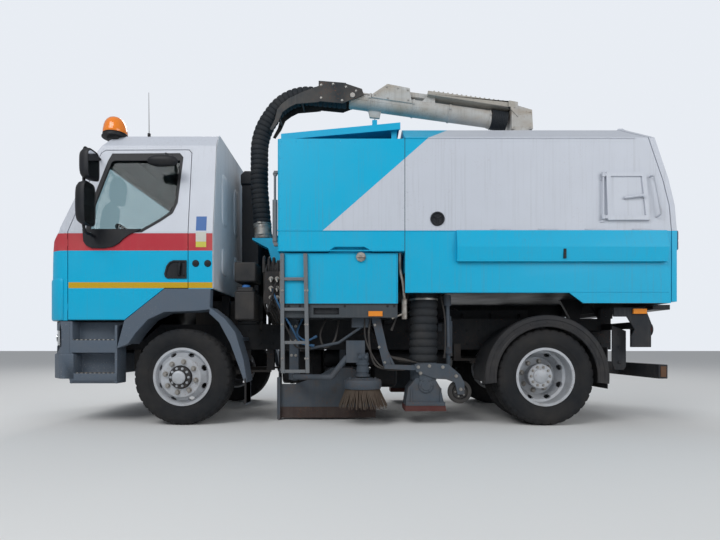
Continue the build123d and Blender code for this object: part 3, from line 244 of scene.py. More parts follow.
def body_livery(x, y, z):
    wide = abs(y)
    lean = x + (z - 1.72) * 1.139
    canopy = (x > along(-405)) * (z > 2.545)
    tone = blend((lean < along(324)) * (z > BELT) * canopy.calc("SUBTRACT", 1.0, canopy), CYAN, WHITE)
    # the dark seam between the two halves of the body
    tone = blend(x.between(along(-414), along(-408)) * (wide > 1.13), tone, (0.02, 0.05, 0.06))
    # everything under the skirts is black
    under = (z < 1.36) * (wide < 1.135) * (x > -2.715)
    lip = (wide < 0.905) * (z < 1.0965)
    return blend(under.larger(lip), tone, BLACK)


def boom_livery(x, y, z):
    # black rubber sleeve under the tan cover slab
    under = (x - along(-700)) * 0.1555 + 3.228
    sleeve = x.between(along(-1525), along(-1345)) * (z < under)
    slab = x.between(along(-1570), along(-700)) * (z > under)
    tone = blend(noise(x.tree, 4, (1, 1, 2)).ramp(0.4, 0.75, 0.0, 0.7), CREAM, (0.30, 0.23, 0.15))
    return blend(sleeve, blend(slab, tone, (0.37, 0.35, 0.31)), BLACK)


def tank_livery(x, y, z):
    return blend(z < 1.088, CYAN, (0.045, 0.055, 0.065))


def lamp_glass(x, y, z):
    # amber at the sides, clear at the front, red at the back
    tone = blend(x > along(2000), (0.75, 0.24, 0.015), (0.55, 0.57, 0.58))
    return blend(x < along(-2600), tone, (0.35, 0.01, 0.01))


def gear_colour(x, y, z):
    rusty = noise(x.tree, 7, detail=6).ramp(0.52, 0.72, 0.0, 0.5)
    flap = (z < 0.126) * x.between(along(-176), along(746))
    return blend(flap, blend(rusty, (0.045, 0.063, 0.085), (0.06, 0.045, 0.035)), (0.030, 0.016, 0.016))


def scuffed_metal(tree, fade, bright):
    return blend(noise(tree, 14, detail=5).ramp(0.4, fade), bright, (0.14, 0.12, 0.10))


def fitting_colour(x, y, z):
    return blend(z > 2.6, scuffed_metal(x.tree, 0.65, (0.42, 0.40, 0.37)), (0.022, 0.026, 0.03))


def beacon_colour(x, y, z):
    return blend(z > 2.700, BLACK, (0.85, 0.20, 0.01))


def reservoir_colour(x, y, z):
    # the tank is black and its cap blue
    return blend(z.between(1.2505, 1.285) * (y > 0.80), (0.016, 0.017, 0.019), (0.03, 0.14, 0.40))


def valve_colour(x, y, z):
    metal = scuffed_metal(x.tree, 0.7, (0.36, 0.35, 0.32))
    return blend((x < along(711)) * (y > 0.985), (0.02, 0.021, 0.024), metal)


# The numbers in a row are roughness, streaks, spray, spray height, dust and chips.
rubber = dict(streaks=0.0, chips=0.0, dust=0.10, grain=500, bump=0.15)
finish("cab_paint", cab_livery, 0.32, 0.15, 0.2, 1.2, 0.02, 0.1, coat=0.06)
finish("body_paint", body_livery, 0.36, 0.22, 0.12, 1.4, 0.03, 0.1, coat=0.04)
finish("boom_paint", boom_livery, 0.5, 0.5, 0.0, 1.0, 0.2, 0.6)
finish("wheel_steel", (0.50, 0.53, 0.57), 0.4, 0.0, 0.5, 1.1, 0.2, 0.7, metallic=0.3)
finish("tyre_rubber", (0.007, 0.009, 0.012), 0.8, spray=0.05, spray_top=1.2, **rubber)
finish("axle_steel", (0.020, 0.023, 0.028), 0.7, 0.0, 0.3, 1.2, 0.2, 0.7, grain=120, bump=0.3)
finish("frame_paint", (0.010, 0.014, 0.020), 0.6, 0.1, 0.15, 1.3, 0.1, 0.5)
finish("ladder_paint", (0.13, 0.15, 0.17), 0.45, 0.3, 0.5, 1.4, 0.2, 0.8)
finish("engine_iron", (0.022, 0.026, 0.032), 0.7, 0.2, 0.3, 1.5, 0.3, 0.6, grain=80, bump=0.4)
finish("window_glass", (0.50, 0.60, 0.62), 0.02, 0.0, 0.0, 1.0, 0.01, 0.0, bump=0.0, transmission=1.0)
finish("cab_trim", (0.035, 0.036, 0.04), 0.75, 0.0, 0.0, 1.0, 0.3, 0.0, grain=700, bump=0.25)
finish("bumper_plastic", (0.080, 0.108, 0.145), 0.5, 0.25, 0.2, 1.2, 0.08, 0.4,
       chip_colour=(0.3, 0.3, 0.3), grain=450, bump=0.2)
finish("black_plastic", (0.009, 0.012, 0.017), 0.5, 0.1, 0.15, 1.2, 0.08, 0.2,
       chip_colour=(0.1, 0.1, 0.1), grain=450, bump=0.2)
finish("lamp_lens", lamp_glass, 0.12, 0.0, 0.3, 1.0, 0.05, 0.0, grain=60, bump=0.25, coat=0.8)
finish("valve_metal", fitting_colour, 0.42, 0.2, 0.3, 1.4, 0.3, 0.8, metallic=0.5)
finish("tank_paint", tank_livery, 0.38, 0.15, 0.15, 1.4, 0.04, 0.2, coat=0.04)
finish("hose_rubber", (0.012, 0.016, 0.021), 0.68, spray=0.12, spray_top=1.2, **rubber)
finish("ram_paint", (0.04, 0.04, 0.045), 0.5, 0.1, 0.4, 1.4, 0.3, 0.6)
finish("rod_chrome", (0.55, 0.55, 0.56), 0.16, 0.0, 0.1, 1.2, 0.15, 0.3, metallic=1.0)
finish("gear_paint", gear_colour, 0.6, 0.15, 0.2, 0.9, 0.15, 0.7, grain=160, bump=0.3)
finish("castor_rubber", (0.025, 0.027, 0.030), 0.75, spray=0.25, spray_top=1.0, **rubber)
finish("brush_bristle", (0.060, 0.042, 0.030), 0.6, 0.0, 0.2, 0.6, 0.3, 0.5, chip_size=300, metallic=0.3)
finish("beacon_amber", beacon_colour, 0.15, 0.05, 0.0, 1.0, 0.04, 0.0, grain=40, bump=0.2, coat=0.8)
for part in frame["record"]["subparts"]:
    shell = frame["nodes"][part["node"]]
    shell.data.materials.clear()
    shell.data.materials.append(finishes[part["material_slot"]])

# These are used on scene pieces only, or on one solid in place of its slot's own finish.
THIN_GLASS_IOR = 1.22
finishes["window_glass"].node_tree.nodes["Principled BSDF"].inputs["IOR"].default_value = THIN_GLASS_IOR
finish("reservoir_tank", reservoir_colour, 0.5, 0.1, 0.3, 1.2, 0.15, 0.1, grain=450, bump=0.2)
finish("valve_bank", valve_colour, 0.45, 0.1, 0.3, 1.2, 0.2, 0.5, metallic=0.4)
frame["nodes"]["reservoir"].data.materials[0] = finishes["reservoir_tank"]
frame["nodes"]["valve_block"].data.materials[0] = finishes["valve_bank"]
finish("trim_black", BLACK, 0.45, 0.1, 0.2, 1.2, 0.08, 0.0, grain=500, bump=0.1)
finish("mirror_silver", (0.7, 0.72, 0.74), 0.03, 0, 0, 1, 0.03, 0, bump=0, metallic=1.0)
finish("nut_steel", (0.38, 0.37, 0.35), 0.4, 0.0, 0.5, 1.0, 0.3, 1.0, metallic=0.8)
finish("skirt_rubber", (0.075, 0.016, 0.016), 0.7, 0, 0.15, 0.7, 0.15, 0)
finish("cable_black", (0.014, 0.015, 0.018), 0.5, 0, 0.4, 1.2, 0.2, 0)
finish("cable_blue", (0.02, 0.10, 0.22), 0.5, 0, 0.4, 1.2, 0.2, 0)
finish("tail_red", (0.42, 0.01, 0.01), 0.15, 0, 0.1, 1.2, 0.05, 0, grain=80, bump=0.2, coat=0.8)
finish("rusty_plate", (0.10, 0.045, 0.02), 0.75, 0.2, 0.3, 1.2, 0.3, 1.0, grain=90, bump=0.4)
finish("white_enamel", WHITE, 0.35, 0.7, 0.1, 1.2, 0.15, 0.3)
finish("wall_paint", (0.62, 0.66, 0.71), 0.6, 0.3, 0.15, 1.4, 0.05, 0.2)
finish("beacon_lens", (0.85, 0.22, 0.01), 0.15, 0, 0, 1, 0.04, 0, grain=40, bump=0.2, coat=0.8)
for tint, colour in (("pale", (0.55, 0.55, 0.50)), ("blue", (0.03, 0.12, 0.35)),
                     ("yellow", (0.55, 0.52, 0.08))):
    finish(f"sticker_{tint}", colour, 0.35, 0.2, 0.1, 1.2, 0.1, 0)


# Mesh helpers.


def place_piece(mesh, name, body, material, bevel, replaces, crease=35, weighted=False):
    mesh.polygons.foreach_set("use_smooth", [True] * len(mesh.polygons))
    mesh.set_sharp_from_angle(angle=radians(crease))
    mesh.materials.clear()
    mesh.materials.append(material)
    piece = bpy.data.objects.new(name, mesh)
    bpy.context.scene.collection.objects.link(piece)
    if bevel:
        rounding = piece.modifiers.new("bevel", "BEVEL")
        rounding.width = bevel / 1000
        rounding.limit_method = "WEIGHT" if weighted else "ANGLE"
        rounding.segments = 3 if weighted else 2
        rounding.use_clamp_overlap = not weighted
    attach(piece, body)
    if replaces:
        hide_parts(*replaces)


class Form:
    """Vertices and faces of one piece, gathered in the shared frame."""

    def __init__(self):
        self.verts, self.faces = [], []

    def add(self, verts, faces):
        base = len(self.verts)
        self.verts += [tuple(v) for v in verts]
        self.faces += [[base + i for i in f] for f in faces]

    def rings(self, loops, closed=False, caps=True):
        # quads between loops of equal length; the last joins the first where closed
        size, count = len(loops[0]), len(loops)
        faces = []
        for i in range(count if closed else count - 1):
            j = (i + 1) % count
            faces += [[i * size + k, i * size + (k + 1) % size, j * size + (k + 1) % size, j * size + k]
                      for k in range(size)]
        if caps and not closed:
            faces += [list(range(size))[::-1], [(count - 1) * size + k for k in range(size)]]
        self.add([v for loop in loops for v in loop], faces)

    def box(self, x0, x1, y0, y1, z0, z1):
        y0, y1 = sorted((y0, y1))
        self.rings([[at(x0, y0, z), at(x1, y0, z), at(x1, y1, z), at(x0, y1, z)] for z in (z0, z1)])

    def side_boxes(self, *rows):
        # the same boxes on both sides of the truck
        for side, name in SIDES:
            for x0, x1, y0, y1, z0, z1 in rows:
                self.box(x0, x1, side * y0, side * y1, z0, z1)

    def side_plate(self, points, y0, y1):
        # an (x, z) outline in millimetres between two Y planes; y may be a function of z
        def lift(y):
            return [at(x, y(z) if callable(y) else y, z) for x, z in points]
        self.rings([lift(y0), lift(y1)])

    def frame_plate(self, inner, outer, y0, y1):
        # a flat ring between two outlines of equal length
        def lift(points, y):
            return [at(x, y(z), z) for x, z in points]
        self.rings([lift(inner, y0), lift(inner, y1), lift(outer, y1), lift(outer, y0)], closed=True)

    def lathe(self, profile, centre, axis, segments=48, wave=None):
        # profile of (along the axis, radius) in millimetres, closed where it ends at TIP
        axis = Vector(axis).normalized()
        u = axis.orthogonal().normalized()
        v = axis.cross(u)
        loops = []
        for s, r in profile:
            loop = []
            for k in range(segments):
                a = 2 * pi * k / segments
                reach = r * (wave(s, r, k) if wave else 1)
                loop.append(centre + axis * (s / 1000) + (u * cos(a) + v * sin(a)) * (reach / 1000))
            loops.append(loop)
        self.rings(loops)

    def disc(self, profile, centre, axis, segments=48, wave=None):
        # a lathe closed flat at both ends
        self.lathe([(profile[0][0], TIP), *profile, (profile[-1][0], TIP)], centre, axis, segments, wave)

    def sweep(self, path, radius, segments=10):
        # a round bar along a path; radius is one value or one for each point
        radii = radius if isinstance(radius, list) else [radius] * len(path)
        loops = []
        side = None
        for i, p in enumerate(path):
            ahead = (path[min(i + 1, len(path) - 1)] - path[max(i - 1, 0)]).normalized()
            side = (side - ahead * side.dot(ahead) if side else ahead.orthogonal()).normalized()
            up = ahead.cross(side)
            loops.append([p + (side * cos(2 * pi * k / segments) + up * sin(2 * pi * k / segments))
                          * (radii[i] / 1000) for k in range(segments)])
        self.rings(loops)

    def hexes(self, spots, axis, across, height, washer=1.35):
        # hexagon heads on washers at the given points
        for spot in spots:
            r = across / 1.732
            self.lathe([(0, TIP), (0, r * washer), (2, r * washer), (2.1, TIP)], spot, axis, 16)
            self.lathe([(2, TIP), (2, r), (height - 2, r), (height, r * 0.86), (height, TIP)], spot, axis, 6)

    def band(self, half, inner, outer, centre, axis, segments=48, middle=0):
        # a flat ring round an axis
        low, high = middle - half, middle + half
        self.lathe([(low, inner), (low, outer), (high, outer), (high, inner)], centre, axis, segments)

    def bar(self, side, points, radius, segments=10):
        # a round bar through points in drawing millimetres, on one side of the truck
        self.sweep(on_side(side, points), radius, segments)

    def curve(self, side, points, radius, segments=10):
        # the same, with the path smoothed
        self.sweep(smooth_path(on_side(side, points)), radius, segments)

    def bolts(self, side, y, spots, across, height):
        # bolts facing out to the side, at (x, z) spots
        self.hexes([at(x, side * y, z) for x, z in spots], (0, side, 0), across, height)

    def rivet(self, side, x, y, z):
        self.lathe([(-2, TIP), (-2, 8), (2, 6), (3, TIP)], at(x, side * y, z), (0, side, 0), 12)

    def make(self, name, body, slot, tint=None, bevel=0.0, replaces=(), crease=35):
        mesh = bpy.data.meshes.new(name)
        mesh.from_pydata(self.verts, [], self.faces)
        work = bmesh.new()
        work.from_mesh(mesh)
        bmesh.ops.remove_doubles(work, verts=work.verts, dist=1e-6)
        bmesh.ops.dissolve_degenerate(work, edges=work.edges, dist=1e-6)
        bmesh.ops.recalc_face_normals(work, faces=work.faces)
        work.to_mesh(mesh)
        work.free()
        place_piece(mesh, name, body, finishes[tint or slot], bevel, replaces, crease)


# The radius in millimetres at which a turned shape counts as closed.
TIP = 0.01
body_of = {node: body for body, nodes in frame["record"]["behaviour"]["bodies"].items() for node in nodes}


def moulded(node_name, width, angle=28):
    # the solid with its flat faces joined and each edge rounded as far as its neighbours leave room
    source = frame["nodes"][node_name]
    work = bmesh.new()
    work.from_mesh(source.data)
    bmesh.ops.remove_doubles(work, verts=work.verts, dist=1e-5)
    bmesh.ops.dissolve_limit(work, angle_limit=radians(0.6), verts=work.verts, edges=work.edges)
    weight = work.edges.layers.float.new("bevel_weight_edge")
    for edge in work.edges:
        if len(edge.link_faces) != 2 or edge.calc_face_angle(0) < radians(angle):
            continue
        room = width / 1000
        for corner in edge.verts:
            way = (edge.other_vert(corner).co - corner.co).normalized()
            for other in corner.link_edges:
                ahead = (other.other_vert(corner).co - corner.co).normalized()
                if other is not edge and abs(ahead.dot(way)) < 0.86:
                    room = min(room, other.calc_length() * 0.4)
        edge[weight] = room * 1000 / width
    mesh = bpy.data.meshes.new(f"{node_name}_moulded")
    work.to_mesh(mesh)
    work.free()
    place_piece(mesh, f"{node_name}_moulded", body_of[node_name],
                source.data.materials[0], width, [node_name], weighted=True)


def on_side(side, points):
    return [at(x, side * y, z) for x, y, z in points]


def bend_path(points, radii, step):
    # a polyline with round corners, sampled every step millimetres
    points = [Vector(p) for p in points]
    line = [points[0]]
    for before, corner, after, radius in zip(points, points[1:], points[2:], radii):
        a, b = (before - corner).normalized(), (after - corner).normalized()
        half = a.angle(b) / 2
        reach = radius / 1000 / (sin(half) / cos(half))
        centre = corner + (a + b).normalized() * (radius / 1000 / sin(half))
        spoke, last = corner + a * reach - centre, corner + b * reach - centre
        turn_axis, turn = spoke.cross(last).normalized(), spoke.angle(last)
        line += [centre + Matrix.Rotation(turn * k / 24, 3, turn_axis) @ spoke for k in range(25)]
    line.append(points[-1])
    out, carry = [line[0]], 0.0
    for a, b in zip(line, line[1:]):
        span = (b - a).length
        while span > 1e-9 and carry + span >= step / 1000:
            cut = step / 1000 - carry
            a = a + (b - a) * (cut / span)
            out.append(a.copy())
            span -= cut
            carry = 0.0
        carry += span
    return out


def smooth_path(points, steps=8):
    # Catmull-Rom through the given points
    points = [points[0], *points, points[-1]]
    out = []
    for a, b, c, d in zip(points, points[1:], points[2:], points[3:]):
        for k in range(steps):
            t = k / steps
            out.append(0.5 * ((2 * b) + (c - a) * t + (2 * a - 5 * b + 4 * c - d) * t * t
                              + (3 * b - a - 3 * c + d) * t ** 3))
    return out + [points[-1]]


def ring_spots(x, y, z, radius, count, turn=0.0):
    angles = [2 * pi * k / count + turn for k in range(count)]
    return [at(x + radius * cos(a), y, z + radius * sin(a)) for a in angles]


# Wheels.

FRONT_X, REAR_X, HUB_Z = 1580, -1670, 433.5
FRONT_Y, REAR_OUT_Y, REAR_IN_Y = 969, 999, 709
TREAD_STEPS = 170
TYRE_HALF = [(98, 249), (99, 262), (111, 285), (118, 302), (121, 304), (123, 312), (128, 330), (131, 350),
             (129, 384), (126, 392), (124, 394), (120, 412), (112, 423), (97, 430), (74, 432.5), (71, 421),
             (61, 421), (58, 433), (29, 433.5), (26, 421), (15, 421), (12, 433.5)]
TYRE_PROFILE = [(-s, r) for s, r in TYRE_HALF] + TYRE_HALF[::-1]


def shoulder_blocks(s, r, k):
    # cross grooves in the tread's shoulders, five steps of the ring to a block
    notch = k % 5 == 0 and 74 < abs(s) < 125 and r > 405
    sipe = k % 5 == 2 and abs(s) < 60 and r > 430
    return 1 - (11 / r if notch else 5 / r if sipe else 0)


def tyre(name, node_name, centres, body):
    form = Form()
    for centre in centres:
        loops = []
        for s, r in TYRE_PROFILE:
            loop = []
            for k in range(TREAD_STEPS):
                a = 2 * pi * k / TREAD_STEPS
                reach = r * shoulder_blocks(s, r, k) / 1000
                loop.append(centre + Vector((cos(a) * reach, s / 1000, sin(a) * reach)))
            loops.append(loop)
        form.rings(loops, closed=True)
    form.make(name, body, "tyre_rubber", replaces=[node_name], crease=28)


for side, name in SIDES:
    out = (0, side, 0)
    front, rear = f"wheel_front_{name}", f"wheel_rear_{name}"
    tyre(f"tyre_tread_front_{name}", f"tyre_front_{name}", [at(FRONT_X, side * FRONT_Y, HUB_Z)], front)
    tyre(f"tyre_tread_rear_{name}", f"tyres_rear_{name}",
         [at(REAR_X, side * y, HUB_Z) for y in (REAR_OUT_Y, REAR_IN_Y)], rear)
    nuts = Form()
    nuts.hexes(ring_spots(FRONT_X, side * 1114, HUB_Z, 137.5, 8, 0.2), out, 32, 26)
    nuts.make(f"wheel_nuts_front_{name}", front, "wheel_steel", "nut_steel")
    nuts = Form()
    nuts.hexes(ring_spots(REAR_X, side * 866, HUB_Z, 137.5, 8, 0.2), out, 32, 26)
    nuts.hexes(ring_spots(REAR_X, side * 984, HUB_Z, 86, 10), out, 17, 10)
    nuts.make(f"wheel_nuts_rear_{name}", rear, "wheel_steel", "nut_steel")
    hub = Form()
    hub.hexes(ring_spots(FRONT_X, side * 1143.2, HUB_Z, 79, 10), out, 15, 9)
    hub.lathe([(0, TIP), (0, 58), (3, 60), (7, 58), (12, 50), (15, 36), (16, TIP)],
              at(FRONT_X, side * 1165.2, HUB_Z), out, 40)
    hub.make(f"hub_cap_front_{name}", front, "wheel_steel")
    hub = Form()
    spot = at(REAR_X, side * 984, HUB_Z)
    hub.lathe([(-2, TIP), (-2, 66), (6, 64), (12, 54), (14, TIP)], spot, out, 40)
    hub.lathe([(-4, 107), (-4, 112), (-12, 113), (-16, 107)], spot, out)
    hub.make(f"hub_cap_rear_{name}", rear, "wheel_steel")


# The overhead suction hose and its fittings.

BOOM_Y = 450


def on_boom(x):
    # a point on the boom tube's centre line
    return at(x, BOOM_Y, 3032 + (x + 1334) * (3233 - 3032) / (105 + 1334))


def clamp_bolt(form, spot, across, long, short):
    form.hexes([spot], (1, 0, 0), across, long)
    form.hexes([spot], (-1, 0, 0), across, short)


foot = at(979, BOOM_Y, 1958)
bend = at(1010, BOOM_Y, 2330)
hose_line = bend_path([on_boom(113), at(720, BOOM_Y, 3290), at(1008, BOOM_Y, 2880), bend, foot],
                      [430, 600, 800], 5.5)
hose = Form()
hose.sweep(hose_line, [81 + 9 * abs(sin(pi * k / 9)) ** 0.5 for k in range(len(hose_line))], 36)
hose.make("ribbed_hose", "hose", "hose_rubber", replaces=["suction_hose"], crease=50)

foot_way = (foot - bend).normalized()
bands = Form()
for s, r in ((6, 93), (34, 92), (118, 92)):
    bands.band(6, 88, r, foot, foot_way, middle=s)
for s in (6, 118):
    clamp_bolt(bands, foot + foot_way * (s / 1000) + Vector((0, 0.098, 0)), 10, 30, 14)
bands.make("coupling_bands", "hose", "valve_metal", "nut_steel")

sleeve = Form()
boom_axis = (on_boom(-1345) - on_boom(-1517)).normalized()
sleeve.lathe([(s, 98 if (s // 9) % 2 else 93) for s in range(2, 170, 9)], on_boom(-1517), boom_axis, 40)
sleeve.make("boom_sleeve_folds", "boom_arm", "hose_rubber")

slab = Form()
for x in range(-1500, -720, 46):
    z = 3272 + (x + 700) * (3272 - 3152) / (-700 + 1563)
    slab.box(x - 7, x + 7, BOOM_Y - 106, BOOM_Y + 106, z - 34, z + 9)
slab.make("cover_slab_ribs", "boom_arm", "boom_paint", bevel=2)

collar, box_bolts, saddle, cowl = Form(), Form(), Form(), Form()
for x in (-1338, -930, -560, -120, 60):
    collar.band(9, 82, 89, on_boom(x), boom_axis)
    for side, name in SIDES:
        collar.hexes([on_boom(x) + Vector((0, side * 0.090, 0.008))], (0, side, 0), 14, 9)
for side, name in SIDES:
    for x, z in ((-170, 3235), (-290, 3315), (-400, 3300), (-500, 3280), (-505, 3180), (-300, 3200)):
        box_bolts.hexes([at(x, BOOM_Y + side * 95, z)], (0, side, 0), 13, 7)
    for x, z in ((370, 3330), (370, 3200), (250, 3340), (120, 3310), (20, 3270), (160, 3175)):
        saddle.hexes([at(x, BOOM_Y + side * 103, z)], (0, side, 0), 15, 8)
    saddle.disc([(0, 26), (9, 24)], at(55, BOOM_Y + side * 103, 3226), (0, side, 0), 24)
    for x, z in ((-1725, 2905), (-1725, 3050), (-1565, 2905), (-1565, 3095), (-1645, 2905)):
        cowl.hexes([at(x, BOOM_Y + side * (125 if x > -1600 and z > 3000 else 115), z)], (0, side, 0), 11, 6)
collar.make("boom_collars", "boom_arm", "boom_paint")
box_bolts.make("boom_box_bolts", "boom_arm", "boom_paint", "nut_steel")
saddle.make("saddle_bolts", "hose", "valve_metal", "nut_steel")
cowl.make("cowl_bolts", "boom_turret", "boom_paint", "nut_steel")

chain = Form()
for n in range(7):
    spot = at(-172, BOOM_Y + 16, 3030 - n * 22)
    flat = Vector((1, 0, 0)) if n % 2 else Vector((0, 1, 0))
    across = flat.cross(Vector((0, 0, 1)))
    link = []
    for k in range(14):
        a = 2 * pi * k / 14
        arm = flat * (0.008 * cos(a)) + Vector((0, 0, 0.015 * sin(a)))
        link.append([spot + arm + (arm.normalized() * cos(b) + across * sin(b)) * 0.003
                     for b in (0, 1.57, 3.14, 4.71)])
    chain.rings(link, closed=True)
chain.make("rest_chain", "boom_arm", "valve_metal", "nut_steel")


# The corrugated suction trunks.

TRUNK_X, TRUNK_Y = -605, 915
profile = []
for n in range(8):
    z = 562 + n * 70
    profile += [(z, 118), (z + 6, 124), (z + 20, 130), (z + 38, 132), (z + 54, 129), (z + 64, 123)]
profile += [(1128, 122), (1128, 131), (1149, 131), (1149, 112), (562, 112)]
trunks, clamps = Form(), Form()
for side, name in SIDES:
    trunks.rings([[at(TRUNK_X + r * cos(2 * pi * k / 56), side * TRUNK_Y + r * sin(2 * pi * k / 56), z)
                   for k in range(56)] for z, r in profile], closed=True)
    spot = at(TRUNK_X, side * TRUNK_Y, 1138)
    clamps.band(8, 131, 134, spot, (0, 0, 1), 56)
    clamp_bolt(clamps, spot + Vector((0.02, side * 0.140, 0)), 11, 34, 18)
trunks.make("trunk_folds", "chassis", "hose_rubber", replaces=["suction_trunks"], crease=50)
clamps.make("trunk_clamps", "chassis", "valve_metal", "nut_steel")


# The brushes.

BRUSH_X, BRUSH_Y = -40, 1010
draw = Random(11)
for side, name in SIDES:
    brush = f"gutter_brush_{name}"
    plate, wires = Form(), Form()
    hub_spot = at(BRUSH_X, side * BRUSH_Y, 0)
    plate.disc([(318, 145), (326, 165), (350, 172), (388, 172), (404, 165), (412, 150), (416, 96), (422, 92),
                (422, 30), (427.7, 30)], hub_spot, (0, 0, 1), 64)
    plate.hexes([hub_spot + Vector((0.12 * cos(a), 0.12 * sin(a), 0.414)) for a in (0.3, 1.6, 2.8, 4.1, 5.4)],
                (0, 0, 1), 17, 12)
    plate.make(f"brush_plate_{name}", brush, "gear_paint")
    for row, (foot_r, tip_r, count) in enumerate(((150, 226, 92), (130, 196, 80), (105, 160, 64))):
        for k in range(count):
            a = 2 * pi * (k + 0.5 * row) / count + draw.uniform(-0.02, 0.02)
            swing = draw.uniform(-0.06, 0.16)
            tip_z = 150 + draw.uniform(0, 26) + row * 4
            spread = tip_r + draw.uniform(-16, 0)
            line = [(foot_r, a, 322), (foot_r + (spread - foot_r) * 0.42, a + swing * 0.35, 255),
                    (spread, a + swing, tip_z)]
            wires.sweep([hub_spot + Vector((r * cos(t), r * sin(t), z)) / 1000 for r, t, z in line],
                        [7.5, 6.0, 3.0], 4)
    wires.make(f"brush_wires_{name}", brush, "brush_bristle", replaces=[brush], crease=60)

tufts = Form()
core = at(150, 0, 270)
tufts.disc([(-720, 40), (-714, 40), (-714, 92), (714, 92), (714, 40), (720, 40)], core, (0, 1, 0), 28)
for row in range(14):
    for k in range(52):
        a = 2 * pi * row / 14 + k * 0.035
        way = Vector((cos(a), 0, sin(a)))
        lean = Vector((-sin(a), 0, cos(a))) * draw.uniform(-0.010, 0.012)
        base = core + Vector((0, (-700 + k * 27.4) / 1000, 0))
        tufts.sweep([base + way * 0.088, base + way * 0.140 + lean * 0.4, base + way * 0.188 + lean],
                    [7, 6.5, 5], 4)
tufts.make("broom_tufts", "wide_broom", "brush_bristle", replaces=["wide_broom"], crease=60)


# Castor wheels, nozzles, skirts and brush motors.

CASTOR_X, CASTOR_Z = -922, 295
NOZZLE_X, NOZZLE_Z = -610, 352
CASTOR_HALF = [(24, 15.5), (24, 58), (14, 66), (30, 74), (30, 92), (21, 105), (13, 107), (11, 101),
               (5, 101), (3, 107)]
CASTOR_PROFILE = [(-s, r) for s, r in CASTOR_HALF] + CASTOR_HALF[::-1]
HOSE_ROUTES = [
    [(760, 1032, 1150), (700, 1085, 1010), (620, 1060, 820), (560, 1010, 700), (430, 1000, 690)],
    [(790, 1032, 1235), (690, 1092, 1040), (590, 1068, 860), (520, 1020, 740), (400, 1012, 712)],
    [(-120, 1012, 1000), (-96, 1022, 800), (-140, 1032, 560), (-260, 1030, 500), (-420, 1044, 500)],
    [(-60, 1000, 1000), (-70, 1028, 760), (-190, 1040, 540), (-330, 1042, 516), (-470, 1046, 505)],
    [(-330, 1020, 1100), (-352, 1034, 1000), (-330, 1040, 930), (-300, 1036, 850)],
    [(300, 900, 960), (350, 960, 820), (310, 985, 700), (220, 960, 760), (180, 900, 950)],
    [(-760, 960, 1170), (-790, 980, 1000), (-800, 985, 800), (-790, 980, 600)],
    [(520, 900, 964), (560, 980, 830), (480, 1000, 760), (380, 985, 800)],
]
BLUE_ROUTES = (1, 7)
skirt, gear_bolts, covers, feeds, brace = Form(), Form(), Form(), Form(), Form()
